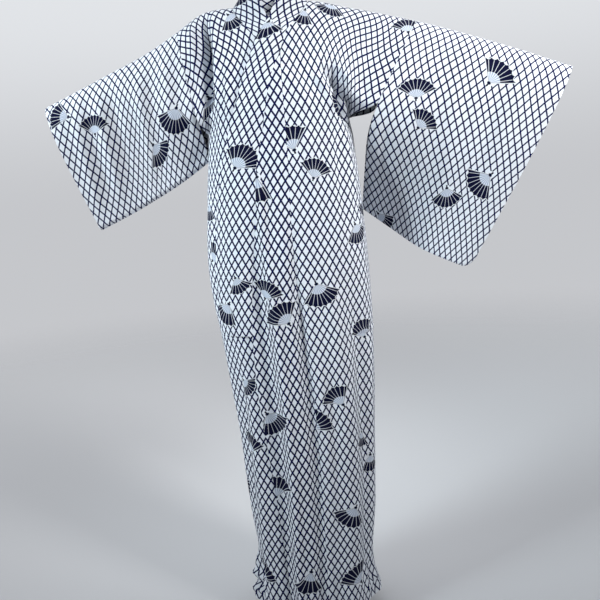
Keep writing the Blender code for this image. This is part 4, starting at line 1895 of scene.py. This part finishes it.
@dataclass
class Sleeve:
    """A flat tube hung from the arm, open at the wrist, at the armhole and below it.

    Attributes:
        form: The surface it hangs from.
        side: Whose arm it is on.
        hangs: How it hangs, from the armhole to the wrist.
        creases: Small creases, by distances from the armhole and down.
        turned_up: Whether its foot is turned up behind it.
        width, depth: From armhole to wrist, and from the fold over the arm to the foot.
        corner: Radius of the corner at the wrist's foot.
        seam: Gap at the armhole's seam.
        foot: Half the tube's thickness along its foot.
        narrows: Share by which the tube is thinner at the wrist.
        narrows_from: Distance down from which it thins at the armhole.
        narrow_by: Share of the width at which it thins right from the arm.
        turn_up_at, turn_up_layer: Depth of a turned-up foot's lowest line, and thickness of its layers.
        hang_turns: Distances down between which the hang changes from arm to foot.
        waves: Small waves of its cloth.
        armhole_fades, top_fades: How near the armhole and the fold over the arm its waves and creases fade.
    """

    form: BodyForm
    side: Side
    hangs: tuple[Hang, ...]
    creases: tuple[Crease, ...] = ()
    turned_up: bool = False
    width: float = 0.355
    depth: float = 0.50
    corner: float = 0.03
    seam: float = 0.0006
    foot: float = 0.0016
    narrows: float = 0.30
    narrows_from: float = 0.19
    turn_up_at: float = 0.315
    turn_up_layer: float = 0.0055
    hang_turns: Pair = (0.17, 0.32)
    armhole_fades: float = 0.03
    top_fades: float = 0.05
    narrow_by: float = 0.5
    waves: Waves = Waves(seed=SEED + 1, height=0.0022, across=(0.06, 0.15), stretch=2.2)

    def lowest(self) -> float:
        """Distance down to where the sleeve hangs lowest."""
        return self.turn_up_at if self.turned_up else self.depth

    def section(self, depth: float) -> tuple[Array, Array, Array, Array]:
        """One section from the foot's seam up the front and down the back, as even places.

        Args:
            depth: Depth of the cloth there, from the fold over the arm to the foot.

        Returns:
            Distance down, layer from -1 in front to 1 behind, layers of the turned-up foot outside the back,
            and distance down the cloth, negative behind.
        """
        if not self.turned_up:
            end = depth - CORNER
            front = [(depth, 0.0, 0.0, depth), (end, -1.0, 0.0, end), (0.0, -1.0, 0.0, 0.0)]
            return self.spread(front, [(0.0, 1.0, 0.0, 0.0), (end, 1.0, 0.0, -end)])
        at, layer = self.turn_up_at, self.turn_up_layer
        top = 2 * at - depth
        front = [
            (top - CORNER, 1.0, 1.5, depth + CORNER),
            (top, 1.0, 2.0, depth),
            (at, 1.0, 2.0, at + TURN_TAKES),
            (at + layer, 0.0, 1.0, at + FOOT_TAKES),
            (at, -1.0, 0.0, at - FOOT_TAKES),
            (0.0, -1.0, 0.0, 0.0),
        ]
        back = [
            (0.0, 1.0, 0.0, 0.0),
            (at - layer, 1.0, 0.0, layer - at),
            (at - layer, 1.0, 1.0, -at - layer),
            (top, 1.0, 1.0, -depth),
        ]
        return self.spread(front, back)

    def spread(self, front: list[tuple], back: list[tuple]) -> tuple[Array, ...]:
        """Even places along two runs of corners, softened where they turn.

        Args:
            front: Corners up the front.
            back: Corners down the back.

        Returns:
            The four numbers of `section`.
        """
        runs = []
        for run in (np.array(front), np.array(back)):
            turns = TURN_SHARE * self.turn_up_layer * np.abs(np.diff(run[:, 2]))
            reach = np.abs(np.diff(run[:, 0])) + turns + 1e-4
            length = np.concatenate([[0.0], np.cumsum(reach)])
            at = np.linspace(0.0, length[-1], int(round(self.depth / CLOTH_STEP)) + 1)
            runs.append(np.stack([np.interp(at, length, run[:, i]) for i in range(4)], axis=1))
        joined = np.concatenate([runs[0], runs[1][1:]])
        return joined[:, 0], joined[:, 1], joined[:, 2] * self.turn_up_layer, joined[:, 3]

    def half(self, way: Array, share: float) -> Array:
        """Half the tube's thickness, wide at the armhole and narrowing to the fold along its foot.

        Args:
            way: Distances down.
            share: Share of the way to the wrist.

        Returns:
            Half thicknesses.
        """
        out = over_the_top(way, ARM_LEAN)[0] * (1.0 - self.narrows * share)
        nearer = float(smooth(0.0, self.narrow_by, share))
        start = self.narrows_from + (TOP_RADIUS - self.narrows_from) * nearer
        return self.foot + np.maximum(out - self.foot, 0.0) * (1.0 - smooth(start, self.lowest(), way))

    def apart(self, way: Array, share: float) -> Array:
        """How much farther apart layers lie, front to back, where the sleeve's back slants."""
        below, above = (self.half(way + step, share) for step in (NORMAL_STEP, -NORMAL_STEP))
        return np.hypot(1.0, (below - above) / (2 * NORMAL_STEP))

    def hung(self, station: float, way: Array) -> Array:
        """Places down the sleeve's middle from its top fold.

        Args:
            station: Distance from the armhole.
            way: Distances down.

        Returns:
            Places, from the top fold.
        """
        share = station / self.width
        lean_top, lean_foot, swing_top, swing_foot = (
            math.radians(column(self.hangs, name, share, "share")) for name in Hang._fields[1:]
        )
        fine = np.linspace(0.0, self.depth, SLEEVE_STEPS)
        turn = smooth(*self.hang_turns, fine)
        lean = lean_top + (lean_foot - lean_top) * turn
        swing = swing_top + (swing_foot - swing_top) * turn
        side, level = self.side.value, np.cos(swing)
        towards = np.stack([-side * np.sin(lean) * level, np.sin(swing), -np.cos(lean) * level])
        path = np.cumsum(towards * (fine[1] - fine[0]), axis=1) - towards[:, :1] * (fine[1] - fine[0])
        return np.stack([np.interp(way, fine, axis) for axis in path], axis=1)

    def sheet(self) -> Sheet:
        """The sleeve from armhole to wrist.

        Returns:
            The sheet.
        """
        loops, cloth = [], []
        for station in steps(0.0, self.width):
            past = max(0.0, station - self.width + self.corner)
            depth = self.depth - self.corner + math.sqrt(self.corner**2 - past**2)
            way, layer, extra, down = self.section(depth)
            across = self.side.value * (SHOULDER_WIDTH[self.side] + self.seam + station)
            top = np.array([float(axis) for axis in self.form.shoulder_line(across)])
            points = top + self.hung(station, over_the_top(np.maximum(way, 0.0), ARM_LEAN)[1])
            share = station / self.width
            half = np.where(way > 0.0, self.half(np.minimum(way, self.lowest()), share), 0.0)
            points[:, 1] += layer * half + extra * self.apart(way, share)
            points[:, 1] -= self.small_lift(station, way) * smooth(0.0, self.armhole_fades, station)
            loops.append(points)
            cloth.append(np.stack([np.full_like(down, station), down], axis=1))
        return Sheet(self.side.named("sleeve"), np.array(loops), np.array(cloth), closed=True)

    def small_lift(self, station: float, way: Array) -> Array:
        """Waves and creases of all layers, towards the front, fading at the fold over the arm.

        Args:
            station: Distance from the armhole.
            way: Distances down.

        Returns:
            Heights there.
        """
        across = np.full_like(way, station)
        lift = self.waves.lift(across, way) + crease_lift(self.creases, across, way)
        return lift * smooth(0.0, self.top_fades, way)


@dataclass(frozen=True)
class Lamp:
    """A square soft light: its place, what it faces, its size, power, beam in degrees and colour."""

    name: str
    place: Triple
    aim: Triple
    size: float
    watts: float
    beam: float
    colour: Triple = (1.0, 1.0, 1.0)

    def build(self) -> None:
        """Make the light."""
        data = bpy.data.lights.new(self.name, "AREA")
        data.color, data.size = self.colour, self.size
        data.energy, data.spread = self.watts, math.radians(self.beam)
        place = np.array(self.place)
        away = place - np.array(self.aim)
        away = away / np.linalg.norm(away)
        side = np.cross([0.0, 0.0, 1.0], away)
        side = side / np.linalg.norm(side)
        in_scene(self.name, data).matrix_world = placement(side, np.cross(away, side), away, place)


def placement(right: Array, up: Array, away: Array, place: Array) -> Matrix:
    """A placement from three axes and a place."""
    return Matrix([*zip(right, up, away, place), (0.0, 0.0, 0.0, 1.0)])


@dataclass
class Studio:
    """Pale floor, soft lights and the camera.

    Attributes:
        floor_z, floor_radius, floor_sides, floor_colour: The round floor.
        floor_fades: Distances between which the floor fades into the backdrop.
        sky_low, sky_high: The backdrop's colours.
        sky_rises: How high the backdrop turns from its low to its high colour.
        room_shade: Strength of the world in front of the robe.
        room_turns: Where, from front to back, the world gains its full strength.
        lamps: The lights.
        lens, sensor: The camera's lens and sensor, in millimetres.
        distance, aside, camera_z: How far back, to the side and up the camera is.
        azimuth, tilt, roll: The camera's angles, in degrees.
    """

    floor_z: float = -1.49
    floor_radius: float = 14.0
    floor_sides: int = 96
    floor_colour: Triple = (0.63, 0.64, 0.66)
    floor_fades: Pair = (1.2, 6.0)
    sky_low: Triple = (0.56, 0.57, 0.595)
    sky_high: Triple = (0.76, 0.78, 0.81)
    sky_rises: Pair = (0.0, 0.30)
    room_shade: float = 0.46
    room_turns: Pair = (-0.35, 0.25)
    lamps: tuple[Lamp, ...] = (
        Lamp("key_light", (1.75, -1.25, 0.65), (0.50, 0.0, -0.16), 0.6, 5.5, 46.0, (1.0, 0.99, 0.97)),
        Lamp("fill_light", (-2.0, -1.15, 0.40), (-0.58, 0.0, -0.28), 1.0, 6.8, 46.0, (0.87, 0.97, 1.0)),
        Lamp("back_light", (-1.4, 2.6, 1.2), (0.0, 0.0, -0.60), 1.6, 14.0, 180.0),
    )
    lens: float = 39.0
    sensor: float = 36.0
    distance: float = 1.565
    aside: float = 0.018
    camera_z: float = -0.445
    azimuth: float = 4.0
    tilt: float = 8.6
    roll: float = 4.2

    def build(self) -> None:
        """Make the floor, the world, the lights and the camera."""
        bpy.context.scene.view_settings.view_transform = "Standard"
        self.floor()
        self.world()
        for lamp in self.lamps:
            lamp.build()
        self.camera()

    def floor(self) -> None:
        """A plain round floor."""
        radius, z = self.floor_radius, self.floor_z
        turns = np.linspace(0.0, math.tau, self.floor_sides + 1)[:-1]
        rim = [(radius * math.cos(turn), radius * math.sin(turn), z) for turn in turns]
        mesh = bpy.data.meshes.new("floor")
        mesh.from_pydata(rim, [], [tuple(range(len(rim)))])
        looks = {"Base_Color": (*self.floor_colour, 1.0), "Roughness": 0.9, "Specular_IOR_Level": 0.1}
        material, shader = new_material("floor_paint", **looks)
        place = node(material.node_tree, "ShaderNodeTexCoord").outputs["Object"]
        away = node(material.node_tree, "ShaderNodeVectorMath", place, operation="LENGTH").outputs["Value"]
        wire(shader, Alpha=self.span(away, self.floor_fades, (1.0, 0.0)))
        mesh.materials.append(material)
        in_scene("floor", mesh)

    def span(self, value: Socket, given: Pair, wanted: Pair = (0.0, 1.0)) -> Socket:
        """A number that goes softly through one span as another goes through its own.

        Args:
            value: The number that is read.
            given: The span it is read over.
            wanted: The span that is put out.

        Returns:
            The other number.
        """
        ends = dict(zip(("From_Min", "From_Max", "To_Min", "To_Max"), (*given, *wanted)))
        ramp = node(value.id_data, "ShaderNodeMapRange", interpolation_type="SMOOTHSTEP", Value=value, **ends)
        return ramp.outputs["Result"]

    def world(self) -> None:
        """Pale light from behind the robe, a little paler from above, and a dimmer room in front of it."""
        world = bpy.data.worlds.new("studio")
        world.use_nodes = True
        tree = world.node_tree
        place = node(tree, "ShaderNodeTexCoord").outputs["Generated"]
        way = node(tree, "ShaderNodeSeparateXYZ", place).outputs
        sky = mix(self.span(way["Z"], self.sky_rises), self.sky_low, self.sky_high)
        room = self.span(way["Y"], self.room_turns, (self.room_shade, 1.0))
        wire(tree.nodes["Background"], Color=sky, Strength=room)
        bpy.context.scene.world = world

    def camera(self) -> None:
        """A camera in front, a little to the wearer's left, tilted down and rolled."""
        turn, tilt, roll = (math.radians(angle) for angle in (self.azimuth, self.tilt, self.roll))
        side = np.array([math.cos(turn), math.sin(turn), 0.0])
        level = np.array([-math.sin(turn), math.cos(turn), 0.0])
        place = -level * self.distance + side * self.aside + np.array([0.0, 0.0, self.camera_z])
        ahead = level * math.cos(tilt) - np.array([0.0, 0.0, math.sin(tilt)])
        up = np.cross(side, ahead)
        right = side * math.cos(roll) - up * math.sin(roll)
        above = side * math.sin(roll) + up * math.cos(roll)
        data = bpy.data.cameras.new("camera")
        data.lens, data.sensor_width = self.lens, self.sensor
        camera = in_scene("camera", data)
        camera.matrix_world = placement(right, above, -ahead, place)
        bpy.context.scene.camera = camera


def sewn_lines(sheet: Sheet, collar_end: float) -> list[Line]:
    """Where a sheet is sewn in sight: along its hem, or a sleeve's cuff, and along its open edge.

    Args:
        sheet: The sheet.
        collar_end: Distance down to the collar's end.

    Returns:
        The lines.
    """
    if sheet.name.startswith("sleeve"):
        return [sheet.row_line(CUFF_ROW), sheet.opening_line(OPENING_ROW, ARMHOLE_DEPTH + OPENING_STARTS)]
    if sheet.name.startswith("okumi"):
        return [sheet.row_line(HEM_ROW), sheet.column_line(EDGE_COLUMN, collar_end + EDGE_STARTS)]
    return [] if sheet.name == "collar" else [sheet.row_line(HEM_ROW)]


def main() -> None:
    """Build every piece in order."""
    form = BodyForm()
    panels = BodyPanels(form)
    sheets = [make(side) for make in (panels.front, panels.overlap, panels.back) for side in Side]
    sheets += [
        Collar(panels).sheet(),
        Sleeve(form, Side.LEFT, LEFT_HANGS, LEFT_SLEEVE_CREASES).sheet(),
        Sleeve(form, Side.RIGHT, RIGHT_HANGS, RIGHT_SLEEVE_CREASES, turned_up=True).sheet(),
    ]
    stitching = Stitching(Thread().build())
    for sheet in sheets:
        lines = sewn_lines(sheet, form.down_to(COLLAR_TIP))
        stitches = [stitching.sew(sheet, lines)] if lines else []
        fans = FANS.get(sheet.name, ())
        if sheet.name in HIDDEN_FANS:
            fans += scattered_fans(*HIDDEN_FANS[sheet.name])
        finish = PRINTS[sheet.name].build(sheet.name + "_print")
        on_root(sheet.build(finish, fans), sheet)
    Studio().build()


if __name__ == "__main__":
    logging.basicConfig(level=logging.INFO, format="%(name)s: %(message)s")
    main()
